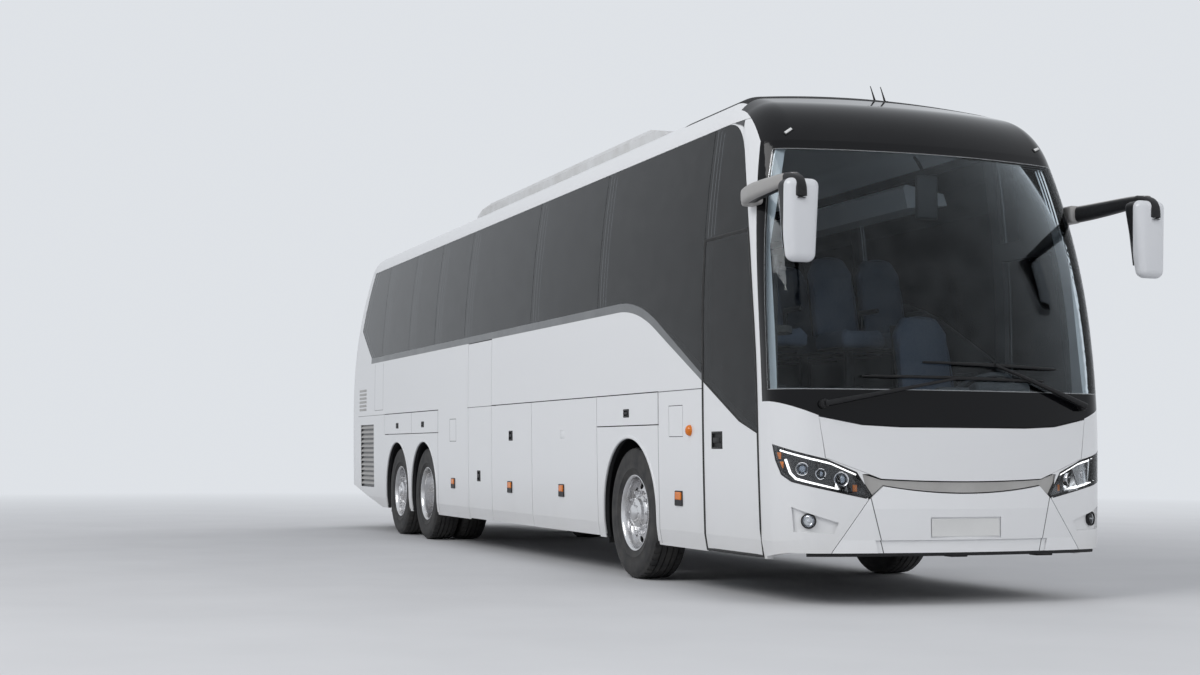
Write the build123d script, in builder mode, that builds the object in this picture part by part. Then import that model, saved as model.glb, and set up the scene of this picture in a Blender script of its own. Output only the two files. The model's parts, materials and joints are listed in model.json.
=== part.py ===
from build123d import *
import os
from math import cos, radians, sin, sqrt

# Three-axle touring coach. X forward, Y to the left side, Z up, ground at Z = 0.
# Lengths along X are set out from the front edge of the entrance door.
os.makedirs("parts", exist_ok=True)

datum = 6060
nose_x = datum + 545
tail_x = datum - 12955
front_axle_x = datum - 2420
drive_axle_x = datum - 8980
tag_axle_x = datum - 10260

# Skin
half_width = 1278
skirt_z = 300
wall = 50
glass = 12
flap_wall = 20
seat_depth = 14
gap = 8
waist_z = 1900
lower_side_radius = 46000
window_top_z = 3350
seam_z = 1468

# Nose and tail profiles
nose_bow = 4300
nose_lean_z = 1000
nose_lean_radius = 5250
cap_z = 3150
cap_radius = 620
cap_turn = 72
nose_corner = 280
tail_bow = 12000
tail_lean_z = 1430
tail_lean_radius = 3400
tail_corner = 180

# Entrance door and its surround
door_rear_x = datum - 918
door_top_z = 2540
door_bottom_z = 312
pillar_radius = 5250
pillar_z = 1200

# Belt trim below the side windows
belt_z = 2140
belt_height = 70
belt_drop_x = datum - 2646
belt_radius = 1850
belt_turn = 25.5
belt_end_z = 1515

# Wheels
tyre_radius = 522.5
tyre_width = 290
rim_radius = 285
wheel_y = 1085
twin_step = 330
kingpin_y = 880
arch_radius = 590



def keep(piece, label):
    piece.part.label = label
    export_step(piece.part, f"parts/{label}.step")


def arc_x(centre_x, centre_z, radius, z):
    """X on a circle in the XZ plane at a height."""
    return centre_x + sqrt(radius ** 2 - (z - centre_z) ** 2)


def pillar_x(z):
    """Front edge of the entrance door, upright below pillar_z and raked above it."""
    if z <= pillar_z:
        return datum + 0.02 * (pillar_z - z)
    return arc_x(datum - pillar_radius, pillar_z, pillar_radius, z)


# Corner of the inner side of the walls, as (distance out, Z) in an upright plane turned from +X
nose_cut_turn = 53.65
nose_cut = [(1371, 100), (1371, 1000), (1247, 2400), (1031, 3150), (700, 3560)]
tail_cut_turn = 132
tail_cut_line = [(1450, 100), (1450, 1430), (1345, 2400), (971, 3350), (700, 3600)]


def corner_cut(outline, x, angle):
    """Solid in front of a folded plane across one corner of the body."""
    with BuildPart() as piece:
        with BuildSketch(turned(x, angle)):
            with BuildLine():
                Polyline(*outline, (3000, outline[-1][1]), (3000, 100), outline[0])
            make_face()
        extrude(amount=1500, both=True)
    return piece.part


def body_block(inset, rounded=True):
    """Outer form of the body, taken in by inset all round, with rounded or cut corners."""
    low_z = skirt_z if inset == 0 else skirt_z - wall
    side_radius = 9525 - inset
    lower_radius = lower_side_radius - inset
    shoulder = 300 - inset
    side_y = half_width - inset
    lean = 8.7
    shoulder_y = half_width - 9525 * (1 - cos(radians(lean))) - 300 * cos(radians(lean))
    shoulder_z = waist_z + (9525 - 300) * sin(radians(lean))
    crown_turn = 7
    crown_radius = shoulder_y / sin(radians(crown_turn)) + 300 - inset
    crown_z = shoulder_z - shoulder_y / sin(radians(crown_turn)) * cos(radians(crown_turn))
    lower_turn = 1.84
    with BuildPart() as block:
        with BuildSketch(Plane.YZ.offset(tail_x + inset)):
            with BuildLine():
                CenterArc((side_y - side_radius, waist_z), side_radius, 0, lean)
                lower = CenterArc((side_y - lower_radius, waist_z), lower_radius, 0, -lower_turn)
                turn = 90 - lean - crown_turn
                CenterArc((shoulder_y, shoulder_z), shoulder, lean, turn)
                CenterArc((0, crown_z), crown_radius, 90 - crown_turn, crown_turn)
                foot = Line(lower @ 1, (half_width - 46 - inset, low_z))
                Line(foot @ 1, (0, low_z))
                Line((0, low_z), (0, crown_z + crown_radius))
            make_face()
            mirror(about=Plane.YZ)
        extrude(amount=nose_x - tail_x - inset + 100)
        nose_turn = 24.2
        lean_radius = nose_lean_radius - inset
        with BuildSketch(turned(nose_x - nose_bow, -25)):
            with BuildLine():
                start = Line((nose_bow - inset, 100), (nose_bow - inset, nose_lean_z))
                rake = CenterArc((nose_bow - nose_lean_radius, nose_lean_z), lean_radius, 0, nose_turn)
                cap_y = nose_bow - nose_lean_radius + (nose_lean_radius - cap_radius) * cos(radians(nose_turn))
                cap_up = nose_lean_z + (nose_lean_radius - cap_radius) * sin(radians(nose_turn))
                cap = CenterArc((cap_y, cap_up), cap_radius - inset, nose_turn, cap_turn - nose_turn)
                over = PolarLine(cap @ 1, 1500, cap_turn + 90)
                Polyline(over @ 1, (nose_bow + 600, (over @ 1).Y), (nose_bow + 600, 100), start @ 0)
            make_face()
        revolve(axis=Axis((nose_x - nose_bow, 0, 0), (0, 0, 1)), revolution_arc=50, mode=Mode.SUBTRACT)
        with BuildSketch(turned(tail_x + tail_bow, 172)):
            with BuildLine():
                tail_radius = tail_lean_radius - inset
                start = Line((tail_bow - inset, 100), (tail_bow - inset, tail_lean_z))
                rake = CenterArc((tail_bow - tail_lean_radius, tail_lean_z), tail_radius, 0, 38)
                over = PolarLine(rake @ 1, 900, 128)
                Polyline(over @ 1, (tail_bow + 600, (over @ 1).Y), (tail_bow + 600, 100), start @ 0)
            make_face()
        revolve(axis=Axis((tail_x + tail_bow, 0, 0), (0, 0, 1)), revolution_arc=16, mode=Mode.SUBTRACT)
        if rounded:
            fillet(end_edges(block, True), nose_corner - inset)
            fillet(end_edges(block, False), tail_corner - inset)
        else:
            for side in (-1, 1):
                add(corner_cut(nose_cut, nose_x - 1000, side * nose_cut_turn), mode=Mode.SUBTRACT)
                add(corner_cut(tail_cut_line, tail_x + 1000, side * tail_cut_turn), mode=Mode.SUBTRACT)
    return block.part


def turned(x, angle):
    """Upright plane through the vertical line at x, its own X turned about that line."""
    along = (cos(radians(angle)), sin(radians(angle)), 0)
    return Plane(origin=(x, 0, 0), x_dir=along, z_dir=(along[1], -along[0], 0))


def end_edges(block, front):
    """The edges where the nose or the tail meets the sides, shoulders and roof."""
    curved = (GeomType.ELLIPSE, GeomType.BSPLINE)
    found = []
    for edge in block.edges():
        box = edge.bounding_box()
        inside = box.min.X > 4000 if front else box.max.X < -4000
        if inside and box.size.X < 1400 and edge.geom_type in curved:
            found.append(edge)
    return found


def side_plane(side, depth=700):
    """Upright plane whose extrusion by depth takes in one side's skin."""
    return Plane.XZ.offset(700) if side < 0 else Plane.XZ.offset(-700 - depth)


def belt_line(start_x, lift, end_x):
    """Belt edge: level, an arc down, then straight to the door."""
    centre_z = belt_z - belt_radius
    drop = radians(belt_turn)
    radius = belt_radius + lift
    arc_end = (belt_drop_x + radius * sin(drop), centre_z + radius * cos(drop))
    Line((start_x, belt_z + lift), (belt_drop_x, belt_z + lift))
    CenterArc((belt_drop_x, centre_z), radius, 90, -belt_turn)
    return Line(arc_end, (end_x, belt_end_z + 0.7 * lift))


# Rear edge of the side glass, from the belt up: corner, knee, middle, top
rear_glass = [(datum - 11700, belt_z + belt_height), (datum - 12349, 2603), (datum - 12204, 2930),
              (datum - 11975, window_top_z)]


outer = body_block(0)
under_glass = body_block(glass)
glass_seat = body_block(seat_depth)
inner = body_block(wall, False)
under_flap = body_block(flap_wall)
skin = outer - inner
glaze = outer - under_glass
rebate = outer - glass_seat
flap_skin = outer - under_flap


def glass_band():
    """Outline of all the side glass and the belt trim."""
    low, knee, middle, high = rear_glass
    top_x = pillar_x(window_top_z)
    foot_z = door_top_z + gap
    middle_z = (foot_z + window_top_z) / 2
    with BuildSketch() as band:
        with BuildLine():
            Polyline((low[0] - 10, belt_z), low, knee)
            ThreePointArc(knee, middle, high)
            Line(high, (top_x, window_top_z))
            ThreePointArc((top_x, window_top_z), (pillar_x(middle_z), middle_z), (pillar_x(foot_z), foot_z))
            Polyline((pillar_x(foot_z), foot_z), (door_rear_x, foot_z), (door_rear_x, belt_end_z))
            belt_line(low[0] - 10, 0, door_rear_x)
        make_face()
        fillet(band.vertices().sort_by_distance((top_x, window_top_z, 0))[0:1], 350)
    return band.sketch


def trim_band():
    """Outline of the belt trim alone."""
    start_x = rear_glass[0][0]
    with BuildSketch() as band:
        with BuildLine():
            Line((start_x, belt_z + belt_height), (start_x - 10, belt_z))
            belt_line(start_x - 10, 0, door_rear_x)
            belt_line(start_x, belt_height, door_rear_x)
            Line((door_rear_x, belt_end_z), (door_rear_x, belt_end_z + 0.7 * belt_height))
        make_face()
    return band.sketch


def panel_box(x0, x1, z0, z1):
    """Rectangle between two X and two Z."""
    with BuildSketch() as outline:
        with Locations(((x0 + x1) / 2, (z0 + z1) / 2)):
            Rectangle(x1 - x0, z1 - z0)
    return outline.sketch


def door_outline(grow=0, bottom=door_bottom_z, top=door_top_z):
    """The entrance door with its raked front edge."""
    front = grow - gap / 2
    rear = door_rear_x + gap / 2 - grow
    high = top + grow
    low = bottom - grow
    middle = (high + pillar_z) / 2
    with BuildSketch() as outline:
        with BuildLine():
            Polyline((rear, high), (rear, low), (pillar_x(low) + front, low), (pillar_x(pillar_z) + front, pillar_z))
            ThreePointArc((pillar_x(pillar_z) + front, pillar_z), (pillar_x(middle) + front, middle),
                          (pillar_x(high) + front, high))
            Line((pillar_x(high) + front, high), (rear, high))
        make_face()
    return outline.sketch


def arch_outline(centre_x, grow=0):
    """Wheel arch: a half circle on straight legs."""
    radius = arch_radius + grow
    foot_z = tyre_radius + 10
    with BuildSketch() as outline:
        with BuildLine():
            CenterArc((centre_x, foot_z), radius, 0, 180)
            Polyline((centre_x - radius, foot_z), (centre_x - radius, 100),
                     (centre_x + radius, 100), (centre_x + radius, foot_z))
        make_face()
    return outline.sketch


# Lids in the skin: name, side, rear X, front X, bottom Z, top Z
lids = [
    ("luggage_door_right_front", -1, datum - 4922, datum - 3146, 312, seam_z),
    ("luggage_door_right_rear", -1, datum - 6232, datum - 4922, 312, seam_z),
    ("luggage_door_left_front", 1, datum - 4922, datum - 3146, 312, seam_z),
    ("luggage_door_left_rear", 1, datum - 7086, datum - 4922, 312, seam_z),
    ("flap_right_front", -1, datum - 3146, datum - 1768, 1220, seam_z),
    ("flap_right_rear", -1, datum - 10910, datum - 8304, 1220, seam_z),
    ("flap_left_front", 1, datum - 3146, datum - 1768, 1220, seam_z),
    ("flap_left_rear", 1, datum - 10910, datum - 8304, 1220, seam_z),
    ("middle_door", -1, datum - 7086, datum - 6232, 312, belt_z - 4),
]

# Seams between the side panes, from the rear
pane_seams = [-11100, -9720, -8520, -7270, -4975, -3141, -925]
sill_z = 2280
header_z = 3290
post = 60

# Shallow pockets in the skin: node, side, rear X, front X, bottom Z, top Z
pockets = [
    ("front_door", -1, datum - 772, datum - 582, 1030, 1154),
    ("middle_door", -1, datum - 6762, datum - 6638, 700, 812),
    ("luggage_door_right_rear", -1, datum - 5642, datum - 5518, 1125, 1197),
    ("luggage_door_right_front", -1, datum - 4096, datum - 3972, 1125, 1197),
    ("luggage_door_left_rear", 1, datum - 6066, datum - 5942, 1125, 1197),
    ("luggage_door_left_front", 1, datum - 4096, datum - 3972, 1125, 1197),
    ("flap_right_front", -1, datum - 2523, datum - 2393, 1282, 1350),
    ("flap_left_front", 1, datum - 2523, datum - 2393, 1282, 1350),
    ("flap_right_rear", -1, datum - 9069, datum - 8939, 1283, 1351),
    ("flap_right_rear", -1, datum - 10306, datum - 10176, 1283, 1351),
    ("flap_left_rear", 1, datum - 9069, datum - 8939, 1283, 1351),
    ("flap_left_rear", 1, datum - 10306, datum - 10176, 1283, 1351),
    ("side", -1, datum - 12285, datum - 11525, 545, 1350),
    ("side", 1, datum - 12285, datum - 11525, 545, 1350),
]


def panel_pockets(side, node):
    """All the pockets of one node, as one solid that is cut 20 mm deep into its skin."""
    with BuildPart() as cut:
        with BuildSketch(side_plane(side)):
            for name, pocket_side, x0, x1, z0, z1 in pockets:
                if name == node and pocket_side == side:
                    add(panel_box(x0, x1, z0, z1))
        extrude(amount=700)
    return cut.part - under_flap


# Groove round the fuel filler flap: rear X, front X, bottom Z, top Z
filler = (datum - 1564, datum - 1291, 1120, 1356)


def filler_groove(side):
    """Groove 5 mm wide round the filler flap."""
    rear, front, low, high = filler
    with BuildPart() as groove:
        with BuildSketch(side_plane(side)):
            add(panel_box(rear, front, low, high))
            add(panel_box(rear + 5, front - 5, low + 5, high - 5), mode=Mode.SUBTRACT)
        extrude(amount=700)
    return groove.part - under_glass


for lid, side, x0, x1, z0, z1 in lids:
    with BuildPart() as panel:
        with BuildSketch(side_plane(side)):
            add(panel_box(x0 + gap / 2, x1 - gap / 2, z0, z1 - gap / 2))
        extrude(amount=700)
        add(skin, mode=Mode.INTERSECT)
        add(panel_pockets(side, lid), mode=Mode.SUBTRACT)
    keep(panel, lid)


def tail_seam(z):
    """Seam between the side and the rear panel."""
    inset = 250
    if z <= tail_lean_z:
        return tail_x + inset
    return tail_x + tail_lean_radius - sqrt((tail_lean_radius - inset) ** 2 - (z - tail_lean_z) ** 2)


def side_outline():
    """One side of the body, from the rear panel's seam to the windscreen pillar's seam."""
    top = window_top_z
    middle = (top + pillar_z) / 2
    with BuildSketch() as outline:
        with BuildLine():
            Line((tail_seam(200), 200), (tail_seam(200), tail_lean_z))
            ThreePointArc((tail_seam(200), tail_lean_z), (tail_seam(2400), 2400), (tail_seam(top), top))
            Line((tail_seam(top), top), (pillar_x(top), top))
            ThreePointArc((pillar_x(top), top), (pillar_x(middle), middle), (pillar_x(pillar_z), pillar_z))
            Polyline((pillar_x(pillar_z), pillar_z), (pillar_x(200), 200), (tail_seam(200), 200))
        make_face()
    return outline.sketch


def window_openings():
    """Openings behind the side panes."""
    with BuildSketch() as openings:
        add(panel_box(datum - 11950, datum - 11100 - post, sill_z + 280, header_z))
        for rear, front in zip(pane_seams[:5], pane_seams[1:6]):
            add(panel_box(datum + rear + post, datum + front - post, sill_z, header_z))
        with BuildLine():
            Polyline((datum - 3080, header_z), (datum - 3080, sill_z), (datum - 2380, sill_z), (datum - 1880, 2130),
                     (datum - 985, 1700), (datum - 985, header_z), (datum - 3080, header_z))
        make_face()
        add(panel_box(datum - 860, datum - 600, door_top_z + 80, header_z))
    return openings.sketch


def low_window(inset):
    """Glazed upper part of the entrance door, and the driver's window opposite."""
    rear = door_rear_x + gap / 2 + inset
    top = door_top_z - inset
    middle = (top + pillar_z) / 2
    front = -gap / 2 - inset
    foot_z = pillar_z - 70 + inset
    with BuildSketch() as outline:
        with BuildLine():
            Polyline((pillar_x(pillar_z) + front, pillar_z + inset), (pillar_x(pillar_z) + front, foot_z),
                     (datum - 300, 1218 + inset), (rear, 1515 + inset), (rear, top), (pillar_x(top) + front, top))
            ThreePointArc((pillar_x(top) + front, top), (pillar_x(middle) + front, middle),
                          (pillar_x(pillar_z) + front, pillar_z + inset))
        make_face()
    return outline.sketch


def tail_cut():
    """The underside rises behind the last axle."""
    with BuildSketch() as outline:
        with BuildLine():
            Polyline((datum - 11060, 290), (tail_x - 50, 600), (tail_x - 50, 100), (datum - 11060, 100),
                     (datum - 11060, 290))
        make_face()
    return outline.sketch


with BuildPart() as recess:
    for side in (-1, 1):
        with BuildSketch(side_plane(side)):
            add(glass_band())
            if side > 0:
                add(low_window(0))
        extrude(amount=700)
    add(rebate, mode=Mode.INTERSECT)

for side, name in ((-1, "right"), (1, "left")):
    with BuildPart() as wall_side:
        with BuildSketch(side_plane(side)):
            add(side_outline())
        extrude(amount=700)
        add(skin, mode=Mode.INTERSECT)
        with BuildSketch(side_plane(side)):
            for axle_x in (front_axle_x, drive_axle_x, tag_axle_x):
                add(arch_outline(axle_x))
            for lid, lid_side, x0, x1, z0, z1 in lids:
                if lid_side == side:
                    low = z0 - 200 if z0 < 400 else z0 - gap
                    add(panel_box(x0 - gap / 2, x1 + gap / 2, low, z1 + gap / 2))
            if side < 0:
                add(door_outline(gap))
                add(panel_box(door_rear_x, datum + 40, 100, 400))
            else:
                add(low_window(post))
            add(window_openings())
            add(tail_cut())
        extrude(amount=700, mode=Mode.SUBTRACT)
        add(recess.part, mode=Mode.SUBTRACT)
        add(panel_pockets(side, "side"), mode=Mode.SUBTRACT)
        add(filler_groove(side), mode=Mode.SUBTRACT)
    keep(wall_side, f"side_{name}")

with BuildPart() as belt_trim:
    for side in (-1, 1):
        with BuildSketch(side_plane(side)):
            add(trim_band())
        extrude(amount=700)
    add(glaze, mode=Mode.INTERSECT)
keep(belt_trim, "belt_trim")

with BuildPart() as side_glass:
    for side in (-1, 1):
        with BuildSketch(side_plane(side)):
            add(glass_band())
            add(trim_band(), mode=Mode.SUBTRACT)
            for seam in pane_seams:
                add(panel_box(datum + seam - 3, datum + seam + 3, 1400, 3400), mode=Mode.SUBTRACT)
            if side > 0:
                add(low_window(2))
        extrude(amount=700)
    add(glaze, mode=Mode.INTERSECT)
keep(side_glass, "side_glass")

with BuildPart() as door_glass_zone:
    with BuildSketch(side_plane(-1)):
        add(low_window(0))
    extrude(amount=700)

with BuildPart() as door_glass:
    add(door_glass_zone.part)
    add(glaze, mode=Mode.INTERSECT)
keep(door_glass, "front_door_glass")

with BuildPart() as front_door:
    with BuildSketch(side_plane(-1)):
        add(door_outline())
    extrude(amount=700)
    add(skin, mode=Mode.INTERSECT)
    with BuildSketch(side_plane(-1)):
        add(low_window(70))
    extrude(amount=700, mode=Mode.SUBTRACT)
    add(door_glass_zone.part - glass_seat, mode=Mode.SUBTRACT)
    add(panel_pockets(-1, "front_door"), mode=Mode.SUBTRACT)
keep(front_door, "front_door")


# Front: half outlines as (Y, Z) from the centre line outwards
screen_foot = [(0, 1177), (480, 1183), (745, 1196), (1028, 1250), (1170, 1305), (1400, 1395)]
hood_low_z = 822
hood_side = [(613, 838), (986, 973)]
grille_top = [(613, 830), (740, 868)]
grille_low = [(600, 796), (700, 712)]
grille_low_z = 746
bumper_mouth = (600, 788)
bumper_mouth_z = 738
bumper_side = [(700, 700), (943, 363), (990, 200)]
bumper_foot_z = 352
lamp_turn = 45
lamp_points = [(-365, 1063), (0, 966), (169, 882), (253, 726), (219, 707), (39, 752), (-220, 815), (-292, 860),
               (-340, 958)]
lamp_centre = 3897


def lamp_outline():
    """Headlamp outline, seen along a line 45 degrees out from the nose."""
    with BuildSketch() as outline:
        with BuildLine():
            Polyline(*[(lamp_centre + s, z) for s, z in lamp_points],
                     (lamp_centre + lamp_points[0][0], lamp_points[0][1]))
        make_face()
    return outline.sketch


def lamp_plane():
    """Plane facing the right-hand corner of the nose."""
    k = sqrt(0.5)
    return Plane(origin=(4700 * k, -4700 * k, 0), x_dir=(k, k, 0), z_dir=(k, -k, 0))


def screen_side_outline(grow=0):
    """Windscreen from the side, in front of its pillars and up to the cap."""
    with BuildSketch() as outline:
        with BuildLine():
            ThreePointArc((datum + 80 - grow, 1100), (datum + 14 - grow, 2032), (datum - 185 - grow, cap_z))
            Polyline((datum - 185 - grow, cap_z), (7000, cap_z), (7000, 1100), (datum + 80 - grow, 1100))
        make_face()
    return outline.sketch


def cap_side_outline():
    """Black roof cap from the side."""
    with BuildSketch() as outline:
        with BuildLine():
            ThreePointArc((datum - 185, cap_z), (datum - 360, 3330), (datum - 610, 3450))
            Polyline((datum - 610, 3450), (datum - 610, 3800), (7000, 3800), (7000, cap_z), (datum - 185, cap_z))
        make_face()
    return outline.sketch


with BuildPart() as screen_zone:
    with BuildSketch(Plane.YZ.offset(5600)):
        with BuildLine():
            half = [(y, z) for y, z in screen_foot]
            Polyline(*[(-y, z) for y, z in reversed(half)], *half[1:], (1400, 3300), (-1400, 3300), (-1400, 1395))
        make_face()
    extrude(amount=1200)
    with BuildSketch(Plane.XZ.offset(-1400)):
        add(screen_side_outline())
    extrude(amount=2800, mode=Mode.INTERSECT)

with BuildPart() as windscreen:
    add(screen_zone.part)
    add(glaze, mode=Mode.INTERSECT)
keep(windscreen, "windscreen")


def wide_outline(mouth, middle_z, sides):
    """Open line across the nose: an arc over the middle and straight runs to both sides."""
    ThreePointArc((-mouth[0], mouth[1]), (0, middle_z), mouth)
    if sides:
        Polyline(mouth, *sides)
        Polyline((-mouth[0], mouth[1]), *[(-y, z) for y, z in sides])


with BuildPart() as roof_cap:
    with BuildSketch(Plane.XZ.offset(-1400)):
        add(cap_side_outline())
    extrude(amount=2800)
    add(skin, mode=Mode.INTERSECT)
keep(roof_cap, "roof_cap")

with BuildPart() as lamp_zone:
    with BuildSketch(lamp_plane()):
        add(lamp_outline())
    extrude(amount=1300)
    mirror(about=Plane.XZ)

with BuildPart() as hood:
    with BuildSketch(Plane.YZ.offset(6100)):
        with BuildLine():
            high = [(y, z - gap) for y, z in screen_foot[1:4]]
            wide_outline(hood_side[0], hood_low_z, hood_side[1:])
            Polyline(hood_side[-1], *reversed(high), *[(-y, z) for y, z in high], (-hood_side[-1][0], hood_side[-1][1]))
        make_face()
    extrude(amount=600)
    add(flap_skin, mode=Mode.INTERSECT)
    add(lamp_zone.part, mode=Mode.SUBTRACT)
keep(hood, "hood")

# Number plate field (Y and Z limits), lip line, fog lamp pocket on the lamp plane
plate = (-270, 270, 446, 585)
lip_z = 436
lip_half = 640
fog_pocket = [(-220, 653), (66, 551), (40, 480), (-205, 491)]
fog_lamp = (-112, 561)
fog_radius = 46
groove_width = 5

with BuildPart() as bumper_grooves:
    with BuildSketch(Plane.YZ.offset(6100)):
        add(panel_box(*plate))
        with BuildLine():
            Polyline((-lip_half, bumper_foot_z), (-lip_half - 20, lip_z), (lip_half + 20, lip_z),
                     (lip_half, bumper_foot_z), (lip_half, 250), (-lip_half, 250), (-lip_half, bumper_foot_z))
        make_face()
    extrude(amount=600)

with BuildPart() as fog_zone:
    with BuildSketch(lamp_plane().offset(-200)):
        with BuildLine():
            Polyline(*[(lamp_centre + s, z) for s, z in fog_pocket],
                     (lamp_centre + fog_pocket[0][0], fog_pocket[0][1]))
        make_face()
    extrude(amount=1500)
    mirror(about=Plane.XZ)

nose_pockets = (bumper_grooves.part - under_glass) + (fog_zone.part - under_flap)

with BuildPart() as bumper:
    with BuildSketch(Plane.YZ.offset(6100)):
        with BuildLine():
            wide_outline(bumper_mouth, bumper_mouth_z, bumper_side)
            Line(bumper_side[-1], (-bumper_side[-1][0], bumper_side[-1][1]))
        make_face()
        with Locations((0, 0)):
            Rectangle(3000, 2 * bumper_foot_z, mode=Mode.SUBTRACT)
    extrude(amount=600)
    add(skin, mode=Mode.INTERSECT)
    add(lamp_zone.part, mode=Mode.SUBTRACT)
    add(nose_pockets, mode=Mode.SUBTRACT)
keep(bumper, "bumper")

with BuildPart() as grille:
    with BuildSketch(Plane.YZ.offset(6100)):
        with BuildLine():
            wide_outline(grille_top[0], hood_low_z - gap, grille_top[1:])
            wide_outline(grille_low[0], grille_low_z, grille_low[1:])
            for side in (-1, 1):
                Line((side * grille_top[-1][0], grille_top[-1][1]), (side * grille_low[-1][0], grille_low[-1][1]))
        make_face()
    extrude(amount=600)
    add(under_glass - inner, mode=Mode.INTERSECT)
    add(lamp_zone.part, mode=Mode.SUBTRACT)
keep(grille, "grille")

with BuildPart() as headlamps:
    with BuildSketch(lamp_plane()):
        add(lamp_outline())
        offset(amount=-3, kind=Kind.INTERSECTION, mode=Mode.REPLACE)
    extrude(amount=1300)
    mirror(about=Plane.XZ)
    add(skin, mode=Mode.INTERSECT)
keep(headlamps, "headlamps")

with BuildPart() as mask:
    with BuildSketch(Plane.XZ.offset(-1400)):
        with BuildLine():
            top = window_top_z
            middle = (top + pillar_z) / 2
            seam = 4
            ThreePointArc((pillar_x(top) + seam, top), (pillar_x(middle) + seam, middle),
                          (pillar_x(pillar_z) + seam, pillar_z))
            Polyline((pillar_x(pillar_z) + seam, pillar_z), (pillar_x(200) + seam, 200), (7000, 200), (7000, top),
                     (pillar_x(top) + seam, top))
        make_face()
    extrude(amount=2800)
    add(skin, mode=Mode.INTERSECT)
    with BuildSketch(Plane.XZ.offset(-1400)):
        add(cap_side_outline())
    extrude(amount=2800, mode=Mode.SUBTRACT)
    add(screen_zone.part - glass_seat, mode=Mode.SUBTRACT)
    add(lamp_zone.part, mode=Mode.SUBTRACT)
    add(nose_pockets, mode=Mode.SUBTRACT)
    with BuildSketch(Plane.YZ.offset(6100)):
        with BuildLine():
            half = [(y + 6, z) for y, z in hood_side] + [(y + 6, z + 20) for y, z in reversed(screen_foot[1:4])]
            Polyline(*half, *[(-y, z) for y, z in reversed(half)], half[0])
        make_face()
        with BuildLine():
            half = [(746, 868)] + [(y + 6, z) for y, z in bumper_side]
            Polyline(*half, *[(-y, z) for y, z in reversed(half)], half[0])
        make_face()
    extrude(amount=600, mode=Mode.SUBTRACT)
    with BuildSketch(Plane.XZ.offset(-1400)):
        with BuildLine():
            Polyline((datum + 60, 250), (datum + 60, 318), (datum + 300, bumper_foot_z), (7000, bumper_foot_z),
                     (7000, 250), (datum + 60, 250))
        make_face()
        with BuildLine():
            ThreePointArc((datum + 160, 1400), (datum + 80, 2032), (datum - 90, cap_z))
            Polyline((datum - 90, cap_z), (7000, cap_z), (7000, 1400), (datum + 160, 1400))
        make_face()
    extrude(amount=2800, mode=Mode.SUBTRACT)
keep(mask, "front_mask")

# Rear end
tail_z = 760
lid_half = 860
lid_top = 1460
rear_window_half = 880
rear_window_low = 2240
rear_window_high = 3050
roof_rear_x = tail_seam(window_top_z)


def rear_box(half, z0, z1, grow=0):
    """Rectangle on the tail, drawn as seen from behind."""
    with BuildSketch() as outline:
        with Locations((0, (z0 + z1) / 2)):
            Rectangle(2 * half + 2 * grow, z1 - z0 + 2 * grow)
    return outline.sketch


def tail_plane():
    return Plane.YZ.offset(tail_x - 100)


with BuildPart() as rear_window_zone:
    with BuildSketch(tail_plane()):
        add(rear_box(rear_window_half, rear_window_low, rear_window_high))
    extrude(amount=1000)

with BuildPart() as rear_window:
    add(rear_window_zone.part)
    add(glaze, mode=Mode.INTERSECT)
keep(rear_window, "rear_window")

with BuildPart() as engine_lid:
    with BuildSketch(tail_plane()):
        add(rear_box(lid_half, tail_z + gap, lid_top - 4))
    extrude(amount=600)
    add(skin, mode=Mode.INTERSECT)
keep(engine_lid, "engine_lid")

with BuildPart() as tail_zone:
    with BuildSketch(tail_plane()):
        for side in (-1, 1):
            with Locations((side * 1060, 1050)):
                Rectangle(190, 520)
    extrude(amount=600)

with BuildPart() as tail_lamps:
    with BuildSketch(tail_plane()):
        for side in (-1, 1):
            with Locations((side * 1060, 1050)):
                Rectangle(184, 514)
    extrude(amount=600)
    add(skin, mode=Mode.INTERSECT)
keep(tail_lamps, "tail_lamps")

with BuildPart() as tail_region:
    with BuildSketch(Plane.XZ.offset(-1400)):
        with BuildLine():
            top = window_top_z
            edge = gap / 2
            Line((tail_seam(200) - edge, 200), (tail_seam(200) - edge, tail_lean_z))
            ThreePointArc((tail_seam(200) - edge, tail_lean_z), (tail_seam(2400) - edge, 2400),
                          (tail_seam(top) - edge, top))
            Polyline((tail_seam(top) - edge, top), (tail_seam(top) - edge, 3800), (tail_x - 100, 3800),
                     (tail_x - 100, 200), (tail_seam(200) - edge, 200))
        make_face()
        add(tail_cut(), mode=Mode.SUBTRACT)
    extrude(amount=2800)

with BuildPart() as rear_panel:
    add(tail_region.part)
    add(skin, mode=Mode.INTERSECT)
    add(tail_zone.part, mode=Mode.SUBTRACT)
    add(rear_window_zone.part - glass_seat, mode=Mode.SUBTRACT)
    with BuildSketch(tail_plane()):
        add(rear_box(lid_half, tail_z - 200, lid_top, gap))
        add(rear_box(1400, 0, tail_z))
        add(rear_box(rear_window_half - 60, rear_window_low + 60, rear_window_high - 60))
    extrude(amount=1000, mode=Mode.SUBTRACT)

with BuildPart() as rear_bumper:
    add(tail_region.part)
    add(skin, mode=Mode.INTERSECT)
    with BuildSketch(tail_plane()):
        add(rear_box(1400, 0, tail_z - gap))
    extrude(amount=1000, mode=Mode.INTERSECT)

with BuildPart() as tail_end:
    add(rear_panel.part)
    add(rear_bumper.part)
keep(tail_end, "rear_panel")

with BuildPart() as roof:
    with BuildSketch(Plane.XZ.offset(-1400)):
        with Locations(((roof_rear_x + gap / 2 + datum - 400) / 2, (window_top_z + gap / 2 + 3900) / 2)):
            Rectangle(datum - 400 - roof_rear_x - gap / 2, 3900 - window_top_z - gap / 2)
        add(cap_side_outline(), mode=Mode.SUBTRACT)
    extrude(amount=2800)
    add(skin, mode=Mode.INTERSECT)
keep(roof, "roof")

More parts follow.
